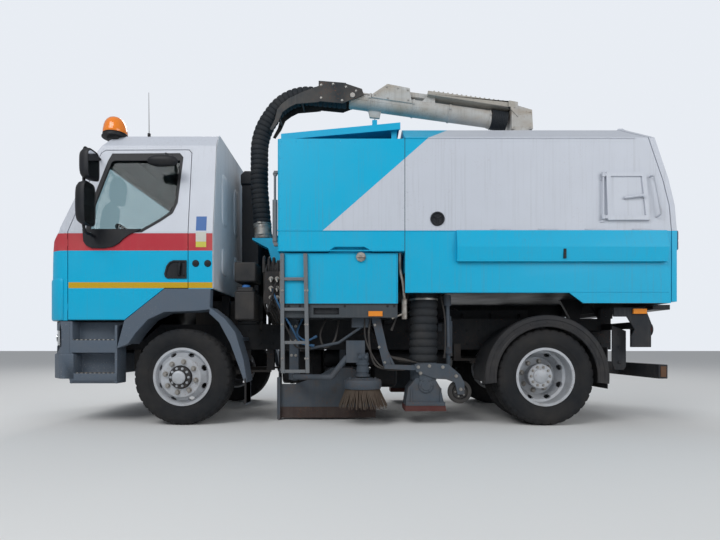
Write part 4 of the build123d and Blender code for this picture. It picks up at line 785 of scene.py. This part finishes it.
for side, name in SIDES:
    out = (0, side, 0)
    castor = f"nozzle_wheel_{name}"
    wheel, ring, motor, lines, blue = Form(), Form(), Form(), Form(), Form()
    wheel.lathe(CASTOR_PROFILE, at(CASTOR_X, side * 1008, CASTOR_Z), (0, 1, 0), 56)
    wheel.make(f"castor_tyre_{name}", castor, "castor_rubber", replaces=[castor])
    ring.hexes(ring_spots(CASTOR_X, side * 1032, CASTOR_Z, 42, 5), out, 12, 8)
    ring.make(f"castor_nuts_{name}", castor, "castor_rubber", "nut_steel")

    for y in (786, 1054):
        skirt.side_plate([(-428, 172), (-787, 172), (-796, 122), (-424, 122)], side * (y - 4), side * (y + 4))
    skirt.box(-428, -420, side * 790, side * 1050, 122, 172)
    gear_bolts.bolts(side, 1068, ((-540, 520), (-640, 530), (-760, 520), (-880, 440), (-922, 320),
                                  (-560, 465)), 20, 12)
    gear_bolts.bolts(side, 1030, ((-150, 900), (-190, 700), (-240, 560)), 16, 10)
    gear_bolts.bolts(side, 760, [(x, z) for x in (600, 640) for z in (620, 760, 900)], 18, 10)

    spot = at(BRUSH_X, side * BRUSH_Y, 0)
    for z0, z1, r in ((432, 452, 66), (470, 520, 57), (540, 560, 60), (585, 640, 55)):
        motor.lathe([(z0, 52), (z0, r - 2), (z0 + 2, r), (z1 - 2, r), (z1, r - 2), (z1, 52)],
                    spot, (0, 0, 1), 40)
    motor.hexes([spot + Vector((0.055 * cos(a), 0.055 * sin(a), 0.640)) for a in (0.8, 2.4, 3.9, 5.5)],
                (0, 0, 1), 12, 9)
    for dx in (-28, 26):
        motor.bar(side, [(BRUSH_X + dx, BRUSH_Y + 40, 610), (BRUSH_X + dx, BRUSH_Y + 78, 612)], 14, 12)
    motor.make(f"brush_motor_rings_{name}", f"brush_arm_{name}", "gear_paint")

    for n, route in enumerate(HOSE_ROUTES):
        path = smooth_path(on_side(side, route))
        cable = blue if n in BLUE_ROUTES else lines
        cable.sweep(path, 8 + n % 3, 10)
        for end, inner in ((path[0], path[1]), (path[-1], path[-2])):
            cable.sweep([end, end + (inner - end).normalized() * 0.03], 13, 6)
    lines.make(f"gear_hoses_{name}", "chassis", "hose_rubber", "cable_black")
    blue.make(f"gear_cables_{name}", "chassis", "hose_rubber", "cable_blue")

    # covers, ribs and feed hoses of the nozzle hood
    covers.disc([(-2, 66), (8, 66), (12, 60), (12, 44), (17, 40)],
                at(NOZZLE_X, side * 1050, NOZZLE_Z), out, 36)
    covers.hexes(ring_spots(NOZZLE_X, side * 1060, NOZZLE_Z, 54, 6), out, 12, 8)
    covers.side_plate([(-432, 172), (-784, 172), (-784, 204), (-432, 204)], side * 1044, side * 1062)
    covers.side_plate([(-664, 402), (-556, 402), (-540, 548), (-680, 548)], side * 1046, side * 1058)
    for x in (-745, -480):
        covers.side_plate([(x - 9, 204), (x + 9, 204), (x + 7, 330), (x - 5, 330)], side * 1040, side * 1060)
    for k in range(5):
        low, wide = 22 * k, 26 * (k % 3)
        feeds.curve(side, [(-130 - 14 * k, 640, 905 - low), (-160 - 20 * k, 800 + wide, 800 - low),
                           (-250 - 18 * k, 930 + wide, 640 - 12 * k),
                           (-420 - 20 * k, 960 + wide, 590 - 8 * k),
                           (-560 - 34 * k, 940 + wide, 540)], 8 + 3 * (k % 2), 8)

    brace.bar(side, [(430, 1000, 690), (180, 985, 740), (-60, 990, 905)], 13)
    brace.bar(side, [(-160, 960, 900), (-270, 1000, 640), (-330, 1030, 512)], 15)
    brace.bar(side, [(-820, 960, 1170), (-830, 965, 700)], 19, 12)
    brace.bar(side, [(-820, 960, 1180), (-820, 960, 1080)], 34, 18)
    brace.box(-110, 60, side * 850, side * 1010, 880, 964)
skirt.make("nozzle_skirts", "chassis", "castor_rubber", "skirt_rubber", bevel=1.5)
gear_bolts.make("gear_bolts", "chassis", "gear_paint", "nut_steel")
covers.make("nozzle_covers", "chassis", "gear_paint", bevel=2)
feeds.make("nozzle_feed_hoses", "chassis", "hose_rubber", "cable_black")
brace.make("gear_braces", "chassis", "gear_paint")

pipe = Form()
pipe.curve(1, [(-372, 1085, 1540), (-374, 1088, 1400), (-400, 1092, 1270), (-412, 1094, 1120)], 13, 12)
pipe.bar(1, [(-412, 1094, 1130), (-412, 1094, 950)], 24, 16)
pipe.bar(1, [(-412, 1094, 1000), (-340, 1098, 975), (-300, 1100, 955)], 9, 8)
pipe.make("drain_pipe", "chassis", "valve_metal")


# Cab dressing.

CAB_Y, CAB_BELT = 1065, 1740
CAB_LEAN = (CAB_Y - 950) / (2560 - CAB_BELT)
WINDOW = [(2434, 1752), (2398, 2014), (2280, 2400), (2250, 2462), (1650, 2466), (1628, 2440), (1657, 2014),
          (1694, 1924), (1793, 1852), (1955, 1752)]
QUARTER_PANEL = [(2478, 1762), (1950, 1762), (1984, 1742), (2050, 1716), (2110, 1674), (2150, 1634),
                 (2205, 1602), (2290, 1588), (2390, 1590), (2440, 1610), (2468, 1650)]
HANDLE_PLATE = [(1543, 1316), (1716, 1317), (1736, 1330), (1744, 1358), (1724, 1430), (1698, 1465),
                (1662, 1481), (1543, 1481)]


def outset(points, out):
    size = len(points)
    area = sum(points[k - 1][0] * points[k][1] - points[k][0] * points[k - 1][1] for k in range(size))
    out = out if area > 0 else -out
    moved = []
    for k in range(size):
        (ax, az), (bx, bz), (cx, cz) = points[k - 1], points[k], points[(k + 1) % size]
        n1 = Vector((bz - az, ax - bx)).normalized()
        n2 = Vector((cz - bz, bx - cx)).normalized()
        mid = (n1 + n2).normalized()
        step = out / max(0.5, mid.dot(n1))
        moved.append((bx + mid.x * step, bz + mid.y * step))
    return moved


def superloop(x, y, z, wide, high, power, count=36):
    # a loop in the cross plane, between an ellipse and a rectangle
    loop = []
    for k in range(count):
        turn = 2 * pi * (k + 0.5) / count
        loop.append(at(x, y + wide * cos(turn) * abs(cos(turn)) ** (2 / power - 1),
                       z + high * sin(turn) * abs(sin(turn)) ** (2 / power - 1)))
    return loop


# The corner panel's plan bulges round the front, and its outline tucks in at the foot and the top.
CORNER_PLAN = [(2648, 1052), (2652, 1070)]
CORNER_PLAN += [(2640 + 224 * cos(radians(a)), 800 + 277 * sin(radians(a))) for a in range(84, 0, -12)]
CORNER_PLAN += [(2864, 790), (2864, 478), (2826, 474), (2826, 830)]
CORNER_PLAN += [(2628 + 198 * cos(radians(a)), 855 + 198 * sin(radians(a))) for a in (12, 30, 48, 66, 82)]
CORNER_TUCKS = ((941, 9), (946, 4), (956, 0), (1296, 0), (1312, 3), (1320, 9))
MIRROR_STEPS = ((6, 0.90), (0, 0.94), (-2, 0.97), (3, 1.0), (30, 1.0), (62, 0.93), (86, 0.76), (100, 0.5),
                (105, 0.15))
KERB_MIRROR = [(-138 + 276 * k / 16, max(TIP, 52 * max(0.0, 1 - (abs(k - 8) / 8) ** 2.6) ** 0.5))
               for k in range(17)]

for side, name in SIDES:
    out, door = (0, side, 0), f"door_{name}"

    def wall(proud):
        # the cab side's Y plane, which leans in above the belt line
        return lambda z: side * (CAB_Y - max(0.0, z - CAB_BELT) * CAB_LEAN + proud)

    def skin(proud):
        return side * (CAB_Y + proud)

    seal = Form()
    inner = [(x - (14 if x > 2200 else 0), min(z, 2412)) for x, z in outset(WINDOW, -6)]
    seal.frame_plate(inner, outset(WINDOW, 20), wall(-8), wall(4))
    seal.side_plate(QUARTER_PANEL, wall(-6), wall(14))
    seal.make(f"window_seal_{name}", door, "black_plastic", "trim_black", bevel=2)
    handle = Form()
    handle.side_plate(HANDLE_PLATE, skin(-2), skin(3))
    handle.frame_plate(outset(HANDLE_PLATE, -16), HANDLE_PLATE, lambda z: skin(2), lambda z: skin(11))
    handle.bar(side, [(1612, CAB_Y + 6, 1344), (1610, CAB_Y + 20, 1365), (1602, CAB_Y + 20, 1440),
                      (1600, CAB_Y + 6, 1458)], 13)
    handle.box(1556, 1578, skin(2), skin(14), 1346, 1456)
    handle.make(f"door_handle_{name}", door, "black_plastic", "trim_black", bevel=3)
    caps = Form()
    for x in (1462, 1354):
        caps.disc([(-3, 31), (4, 31), (9, 26), (10, 15)], at(x, skin(0), 1453), out, 28)
        caps.box(x - 22, x + 22, skin(9), skin(14), 1448, 1458)
    caps.make(f"side_caps_{name}", "chassis", "black_plastic", "trim_black")
    for label, z0, z1, tint in (("low", 1600, 1650, "yellow"), ("middle", 1650, 1736, "pale"),
                                ("upper", 1749, 1881, "blue")):
        panel = Form()
        panel.side_plate([(1368, z0), (1462, z0), (1462, z1), (1368, z1)], wall(-3), wall(1.5))
        panel.make(f"side_label_{label}_{name}", "chassis", "cab_paint", f"sticker_{tint}", bevel=0.8)

    # rounded mirror housings on a bent tube, with the glass set in their rear faces
    housing, glass = Form(), Form()
    for x, z0, z1 in ((2290, 2150, 2404), (2325, 1755, 2127)):
        mid, half = (z0 + z1) / 2, (z1 - z0) / 2
        housing.rings([superloop(x + dx, side * 1233, mid, 96 * k, half * k ** 0.5, 5 - 2 * dx / 106)
                       for dx, k in MIRROR_STEPS])
        glass.rings([superloop(x + dx, side * 1233, mid, 84, half - 14, 5) for dx in (2, 4, 8)])
    housing.curve(side, [(2372, 972, 2424), (2384, 1120, 2434), (2376, 1226, 2412), (2376, 1233, 2130),
                         (2378, 1230, 1740), (2372, 1120, 1700), (2366, 1050, 1690)], 13, 12)
    housing.make(f"mirror_housing_{name}", door, "black_plastic", "trim_black", replaces=[f"mirror_{name}"])
    glass.make(f"mirror_glass_{name}", door, "black_plastic", "mirror_silver")
    kerb = Form()
    kerb.lathe(KERB_MIRROR, at(1732, side * 1138, 2350), (1, 0, 0), 28)
    kerb.bar(side, [(1732, 1130, 2388), (1732, 1060, 2442), (1732, 968, 2452)], 11)
    kerb.lathe([(0, TIP), (0, 30), (10, 26), (12, TIP)], at(1732, wall(0)(2452), 2452), out, 20)
    kerb.make(f"kerb_mirror_{name}", door, "black_plastic", "trim_black")

    # the bulged lower corner panel of the cab front
    corner = Form()
    corner.rings([[at(x, side * y, z) for x, y in outset(CORNER_PLAN, -tuck)] for z, tuck in CORNER_TUCKS])
    corner.make(f"front_corner_{name}", "chassis", "cab_paint", crease=50)

wipers = Form()
for y0, y1 in ((620, 60), (-60, -620)):
    mid = (y0 + y1) / 2
    wipers.bar(1, [(2808, y0, 1786), (2784, mid, 1838), (2778, y1, 1850)], 7, 8)
    wipers.bar(1, [(2778, mid + 250, 1862), (2776, y1 - 60, 1868)], 5, 6)
    wipers.lathe([(0, TIP), (0, 20), (16, 17), (18, TIP)], at(2796, y0, 1784), (1, 0, 0.3), 18)
wipers.make("wipers", "chassis", "black_plastic", "trim_black")

grille = Form()
for z in (1000, 1270, 1300):
    grille.box(2826, 2846, -440, 440, z - 6, z + 6)
for y in (-450, 450):
    grille.box(2826, 2844, y - 8, y + 8, 1000, 1300)
grille.box(2834, 2847, -95, 95, 1372, 1412)
grille.make("grille_bars", "chassis", "black_plastic", "trim_black", bevel=3)

antenna = Form()
antenna.bar(1, [(1959, 880, 2676), (1959, 880, 2700)], 14, 14)
antenna.bar(1, [(1959, 880, 2698), (1962, 880, 3085)], [3.5, 1.8], 8)
antenna.make("antenna", "chassis", "black_plastic", "trim_black")

beacon, dome = Form(), Form()
spot = at(2290, 850, 0)
beacon.disc([(2640, 70), (2664, 76), (2668, 118), (2676, 118), (2682, 104), (2697, 104), (2701, 110),
             (2704, 108)], spot, (0, 0, 1))
beacon.make("beacon_base", "chassis", "beacon_amber", "trim_black")
arch = [(2702, TIP), (2702, 106), (2706, 108), (2730, 107)]
for k in range(1, 14):
    turn = pi / 2 * k / 13
    arch.append((2730 + 134 * sin(turn), max(TIP, (106 if k % 2 else 103.5) * max(0.0, cos(turn)) ** 0.8)))
dome.lathe(arch, spot, (0, 0, 1))
dome.make("beacon_dome", "chassis", "beacon_amber", "beacon_lens", replaces=["roof_beacon"])

pressings = Form()
rear_wall = [(1050, 1232), (1050, CAB_BELT), (938, 2556), (868, 2688), (-868, 2688), (-938, 2556),
             (-1050, CAB_BELT), (-1050, 1232)]
pressings.rings([[at(x, y, z) for y, z in rear_wall] for x in (1310, 1304)])
for z, half in ((1520, 130), (2120, 250)):
    for y in (-690, -230, 230, 690):
        pressings.rings([superloop(1309 + depth, y, z, 100 * size, half * size, 4, 40)
                         for depth, size in ((-4, 1.0), (-13, 0.96), (-17, 0.84), (-17, 0.1))])
pressings.make("rear_wall_pressings", "chassis", "cab_paint", "wall_paint")

head, cap, rivets, filler = Form(), Form(), Form(), Form()
catches, tail, beam, guard = Form(), Form(), Form(), Form()
ARCH_LIP = [(552, 1060), (552, 1142), (544, 1150), (512, 1152), (506, 1147), (476, 1147), (468, 1153),
            (452, 1152), (446, 1146), (448, 1138), (470, 1137), (540, 1137), (543, 1060)]
for side, name in SIDES:
    out = (0, side, 0)
    for y, r in ((830, 52), (930, 42)):
        head.lathe([(-6, TIP), (-4, r), (3, r), (3, r - 7), (-1, r - 12), (-3, TIP)],
                   at(2797 - (y - 770) * 0.13, side * y, 783), (1, side * 0.12, 0), 36)
    for x in range(-360, 700, 130):
        rivets.rivet(side, x, 1150, 2515)
    for z in range(1600, 2500, 110):
        for x in (-392, 690):
            rivets.rivet(side, x, 1150, z)
    for z in range(1230, 2500, 120):
        rivets.rivet(side, -436, 1150, z)
    cap.disc([(-4, 63), (8, 63), (12, 58), (12, 48), (5, 44), (5, 14), (10, 12)],
             at(-698, side * 1150, 1832), out, 40)
    for k in range(3):
        a = 2 * pi * k / 3 + 0.5
        cap.bar(side, [(-698, 1156, 1832), (-698 + 46 * cos(a), 1158, 1832 + 46 * sin(a))], 6, 6)
    catches.bar(side, [(-2822, 1000, 1120), (-2834, 1000, 1260), (-2824, 1000, 1400)], 14, 12)
    for z in (1110, 1380):
        catches.box(-2832, -2808, side * 975, side * 1025, z, z + 30)
    filler.lathe([(-4, 30), (-4, 40), (10, 42), (14, 38), (15, 16), (15, TIP)], at(-23, side * 1126, 1500),
                 out, 32, wave=lambda s, r, k: 1.06 if k % 4 == 0 and r > 30 else 1.0)
    filler.box(-55, 9, side * 1136, side * 1150, 1494, 1506)
    beam.bolts(side, 1110, [(x, 1066) for x in (-320, -260, 120, 440, 520, 620)], 14, 8)
    beam.box(180, 390, side * 1072, side * 1080, 1000, 1042)
    for y in (850, 980):
        tail.lathe([(-1, 58), (-1, 64), (-14, 64), (-18, 58), (-12, 50), (-12, TIP)],
                   at(-2654, side * y, 860), (1, 0, 0), 36)
    # the lip of the rear arch and its rivets
    guard.rings([[at(REAR_X + r * cos(radians(a)), side * y, HUB_Z + r * sin(radians(a)))
                  for r, y in ARCH_LIP] for a in range(-6, 187, 4)])
    for k in range(9):
        a = radians(20 + k * 17.5)
        guard.lathe([(-1, TIP), (-1, 8), (3, 6), (4, TIP)],
                    at(REAR_X + 491 * cos(a), side * 1147, HUB_Z + 491 * sin(a)), out, 10)
head.make("headlamp_rings", "chassis", "lamp_lens", "mirror_silver")
rivets.make("body_rivets", "hopper", "body_paint")
cap.make("inspection_caps", "hopper", "black_plastic", "trim_black")
catches.make("rear_catches", "rear_door", "ram_paint", bevel=3)
filler.make("filler_caps", "chassis", "valve_metal")
beam.make("beam_bolts", "chassis", "frame_paint")
tail.make("tail_lamp_rims", "chassis", "black_plastic", "trim_black")
guard.make("guard_rivets", "chassis", "black_plastic", "trim_black")


# Body dressing: pieces made of boxes alone, the same on both sides.

for name, body, slot, tint, bevel, boxes in (
        ("body_mouldings", "hopper", "body_paint", None, 2,
         [(-850, 714, 1147, 1155, 1725, 1735), (-408, 714, 1147, 1153, 1549, 1558),
          (-2740, -411, 1149, 1153, 1182, 1188), (-2440, -400, 1146, 1156, 2540, 2549)]),
        ("door_lamps", "rear_door", "lamp_lens", "tail_red", 5,
         [(-2833, -2819, 1090, 1140, 1570, 1640), (-2833, -2819, 1090, 1140, 1650, 1720)]),
        ("door_lamp_rims", "rear_door", "black_plastic", "trim_black", 2,
         [(-2826, -2818, 1084, 1146, 1562, 1728)]),
        ("underrun_end_plates", "chassis", "axle_steel", "rusty_plate", 3,
         [(-2735, -2685, 1119, 1126, 435, 530)]),
        ("mudflaps", "chassis", "black_plastic", "trim_black", 3,
         [(-2224, -2214, 640, 1110, 330, 700), (1008, 1018, 880, 1090, 190, 420)]),
        ("tank_seams", "chassis", "tank_paint", None, 2,
         [(-350, 665, 1116, 1123, 1084, 1092), (-350, 665, 1116, 1123, 1526, 1534),
          (-352, -344, 1116, 1123, 1090, 1530)]),
        ("step_treads", "chassis", "bumper_plastic", "nut_steel", 2,
         [(x, x + 20, 950, 1050, z - 6, z + 3) for z in (466, 768) for x in range(2210, 2580, 40)])):
    form = Form()
    form.side_boxes(*boxes)
    form.make(name, body, slot, tint, bevel=bevel)

for side, name in SIDES:
    latch, lip = Form(), Form()
    latch.box(-1815, -1791, side * 1190, side * 1204, 1476, 1560)
    for z in (1490, 1518, 1546):
        latch.box(-1812, -1794, side * 1203, side * 1207, z - 8, z + 8)
    latch.make(f"lid_latches_{name}", f"side_lid_{name}", "black_plastic", "trim_black", bevel=3)
    lip.box(-2705, -875, side * 1184, side * 1190, 1451, 1458)
    lip.make(f"lid_lip_{name}", f"side_lid_{name}", "body_paint", bevel=2)

grab = Form()
grab.curve(1, [(-2572, 1146, 2206), (-2576, 1186, 2200), (-2590, 1194, 2176), (-2624, 1194, 2000),
               (-2644, 1194, 1885), (-2640, 1186, 1858), (-2630, 1146, 1848)], 8, 12)
grab.make("grab_handle", "hopper", "body_paint", "white_enamel")

ram = Form()
ram.bar(1, [(742, 1108, 1640), (742, 1108, 2010)], 22, 20)
ram.bar(1, [(742, 1108, 2010), (742, 1108, 2235)], 11, 16)
for z in (2240, 1630):
    ram.disc([(-14, 18), (14, 18)], at(742, 1108, z), (0, 1, 0), 20)
for z0, z1 in ((1600, 1626), (2244, 2266)):
    ram.box(712, 750, 1088, 1128, z0, z1)
ram.make("corner_cylinder", "hopper", "ram_paint", "ladder_paint", bevel=1.5)

feet = Form()
feet.bolts(1, 1152.3, [(x, z) for x in (674, 668, 468, 448) for z in (1200, 900, 600)], 12, 7)
feet.make("ladder_bolts", "chassis", "ladder_paint", "nut_steel")

valves, loom = Form(), Form()
for z in (1150, 1235, 1320):
    for x in (735, 790):
        valves.bolts(1, 1035, [(x, z)], 26, 18)
        valves.bar(1, [(x, 1045, z), (x, 1062, z - 8), (x - 6, 1064, z - 34)], 9)
valves.make("valve_unions", "chassis", "valve_metal", "nut_steel")
for k in range(5):
    x, z = 735 + 26 * (k % 3), 1290 - 84 * (k % 3)
    loom.curve(1, [(x, 1064, z), (x + 30, 1069, z - 100), (800 - 20 * k, 1010, 1050),
                   (760 - 20 * k, 900, 930)], 7, 8)
# the bundle of feed hoses that loops over the valve bank and down to the frame
for k in range(22):
    x, y = 716 + 7.2 * k, 960 - 150 * (k % 3) + draw.uniform(-20, 20)
    crest = 1490 + draw.uniform(-60, 50)
    sway = draw.uniform(-28, 28)
    loom.curve(1, [(x, y, 1385), (x, y - 5, crest - 40), (x + 4, y - 45, crest), (x + 8, y - 85, crest - 50),
                   (x + sway, y - 105, 1250), (x + 0.6 * sway, y - 110, 1080), (x, 460 + 9 * (k % 5), 936)],
               11 + 3 * (k % 2), 8)
loom.make("valve_hoses", "chassis", "hose_rubber", "cable_black")


# What is seen dark under the body.

under = Form()
# the cooler of the sweeping engine behind the cab, with the silencer under it
under.box(880, 1096, -640, -30, 1262, 1948)
for z in range(1280, 1940, 30):
    under.box(886, 1090, -30, -12, z, z + 12)
    under.box(868, 880, -634, -36, z, z + 12)
for x in (870, 1090):
    for y in (-640, -44):
        under.box(x - 12, x + 22, y - 8, y + 22, 930, 1966)
under.disc([(-300, 96), (-286, 108), (286, 108), (300, 96)], at(900, -330, 1110), (0, 1, 0), 36)
# the oil tank ahead of the wide broom, with its straps and filler
under.rings([superloop(x, -120, 486, 300 * k, 186 * k, 6)
             for x, k in ((385, 0.9), (393, 0.98), (405, 1.0), (800, 1.0), (812, 0.98), (820, 0.9))])
for x in (500, 720):
    under.rings([superloop(x + dx, -120, 486, 306, 192, 6) for dx in (-18, 18)])
under.disc([(0, 34), (34, 34), (40, 28)], at(600, 60, 660), (0, 0, 1), 24)
# air vessels between the frame rails
for y in (-260, 200):
    under.lathe([(0, TIP), (8, 55), (28, 88), (52, 95), (1288, 95), (1312, 88), (1332, 55), (1340, TIP)],
                at(-960, y, 578), (1, 0, 0), 36)
    for x in (-700, -250, 150):
        under.band(16, 95, 99, at(x, y, 578), (1, 0, 0), 36)
# the pump casing behind the wide broom
under.rings([superloop(x, 0, 392, 280 * k, 128 * k, 5)
             for x, k in ((-420, 0.7), (-400, 0.92), (-380, 1.0), (-180, 1.0), (-160, 0.92), (-145, 0.7))])
# packing beams between the frame rails and the hopper floor, and the hangers behind the rear wheels
for side, name in SIDES:
    under.box(-1790, -760, side * 230, side * 300, 912, 1085)
    for x in (-1700, -1400, -1100, -820):
        under.box(x - 6, x + 6, side * 220, side * 345, 912, 1050)
    under.side_plate([(-2350, 900), (-2480, 850), (-2480, 520), (-2460, 490), (-2375, 490), (-2350, 560)],
                     side * 925, side * 935)
    under.bolts(side, 935, [(-2415, z) for z in (560, 700, 820)], 22, 12)
under.make("frame_fittings", "chassis", "frame_paint", bevel=2)

rails = Form()
for side, name in SIDES:
    # the upper row stops over the front axle
    rails.bolts(side, 430, [(x, z) for x in range(-2500, 2500, 125) for z in (735, 868)
                            if not (1400 < x < 1760 and z > 800)], 17, 9)
rails.make("rail_bolts", "chassis", "frame_paint")

for node_name, width in (("front_bumper", 9), ("front_mudguards", 5), ("reservoir", 14), ("intake_stack", 10),
                         ("rear_underrun", 5), ("ladder", 4), ("hose_fittings", 4), ("boom_turret", 3),
                         ("boom_arm", 7)):
    moulded(node_name, width)


# Floor, lights and camera.

FLOOR_REACH = 60
FLOOR_GREY = (0.72, 0.72, 0.71, 1)
AIR_COLOUR = (0.90, 0.94, 1.0, 1)
AIR_LIGHT, AIR_SEEN = 0.44, 0.46
FOCAL_PIXELS, PHOTO_WIDTH, SENSOR_WIDTH = 493, 720, 36

floor_mesh = bpy.data.meshes.new("floor")
corners = [(x * FLOOR_REACH, y * FLOOR_REACH, 0) for x, y in ((-1, -1), (1, -1), (1, 1), (-1, 1))]
floor_mesh.from_pydata(corners, [], [(0, 1, 2, 3)])
floor = bpy.data.objects.new("floor", floor_mesh)
bpy.context.scene.collection.objects.link(floor)
floor_finish = bpy.data.materials.new("studio_floor")
floor_finish.use_nodes = True
floor_shader = floor_finish.node_tree.nodes["Principled BSDF"]
floor_shader.inputs["Base Color"].default_value = FLOOR_GREY
floor_shader.inputs["Roughness"].default_value = 0.9
floor_mesh.materials.append(floor_finish)

# the air is brighter where it is seen than where it lights the truck
world = bpy.data.worlds.new("studio")
bpy.context.scene.world = world
world.use_nodes = True
sky = world.node_tree
background = sky.nodes["Background"]
ray = add_node(sky, "ShaderNodeLightPath").outputs
shown = Level(sky, ray["Is Camera Ray"]).larger(ray["Is Transmission Ray"])
background.inputs["Color"].default_value = AIR_COLOUR
(shown * AIR_SEEN + AIR_LIGHT).into(background.inputs["Strength"])

for name, spot, target, size, power in (("key", (4.5, 8.5, 8.0), (0, 0, 1.4), (6, 5), 560),
                                        ("fill", (-6.5, 8.0, 4.5), (0, 0, 1.2), (6, 4), 260),
                                        ("back", (1.0, -8.5, 9.5), (0, 0, 1.6), (7, 4), 540)):
    light = bpy.data.lights.new(name, "AREA")
    light.shape, light.size, light.size_y, light.energy = "RECTANGLE", *size, power
    softbox = bpy.data.objects.new(name, light)
    softbox.location = spot
    softbox.rotation_euler = (Vector(target) - Vector(spot)).to_track_quat("-Z", "Y").to_euler()
    bpy.context.scene.collection.objects.link(softbox)

lens = bpy.data.cameras.new("camera")
lens.sensor_width = SENSOR_WIDTH
lens.lens = FOCAL_PIXELS / PHOTO_WIDTH * SENSOR_WIDTH
lens.shift_x = 0.0055
lens.shift_y = 0.105
camera = bpy.data.objects.new("camera", lens)
camera.location = (0.02 + MID, 5.5, 0.714)
camera.rotation_euler = (radians(90), 0, radians(180))
bpy.context.scene.collection.objects.link(camera)
bpy.context.scene.camera = camera
bpy.context.scene.view_settings.view_transform = "Standard"
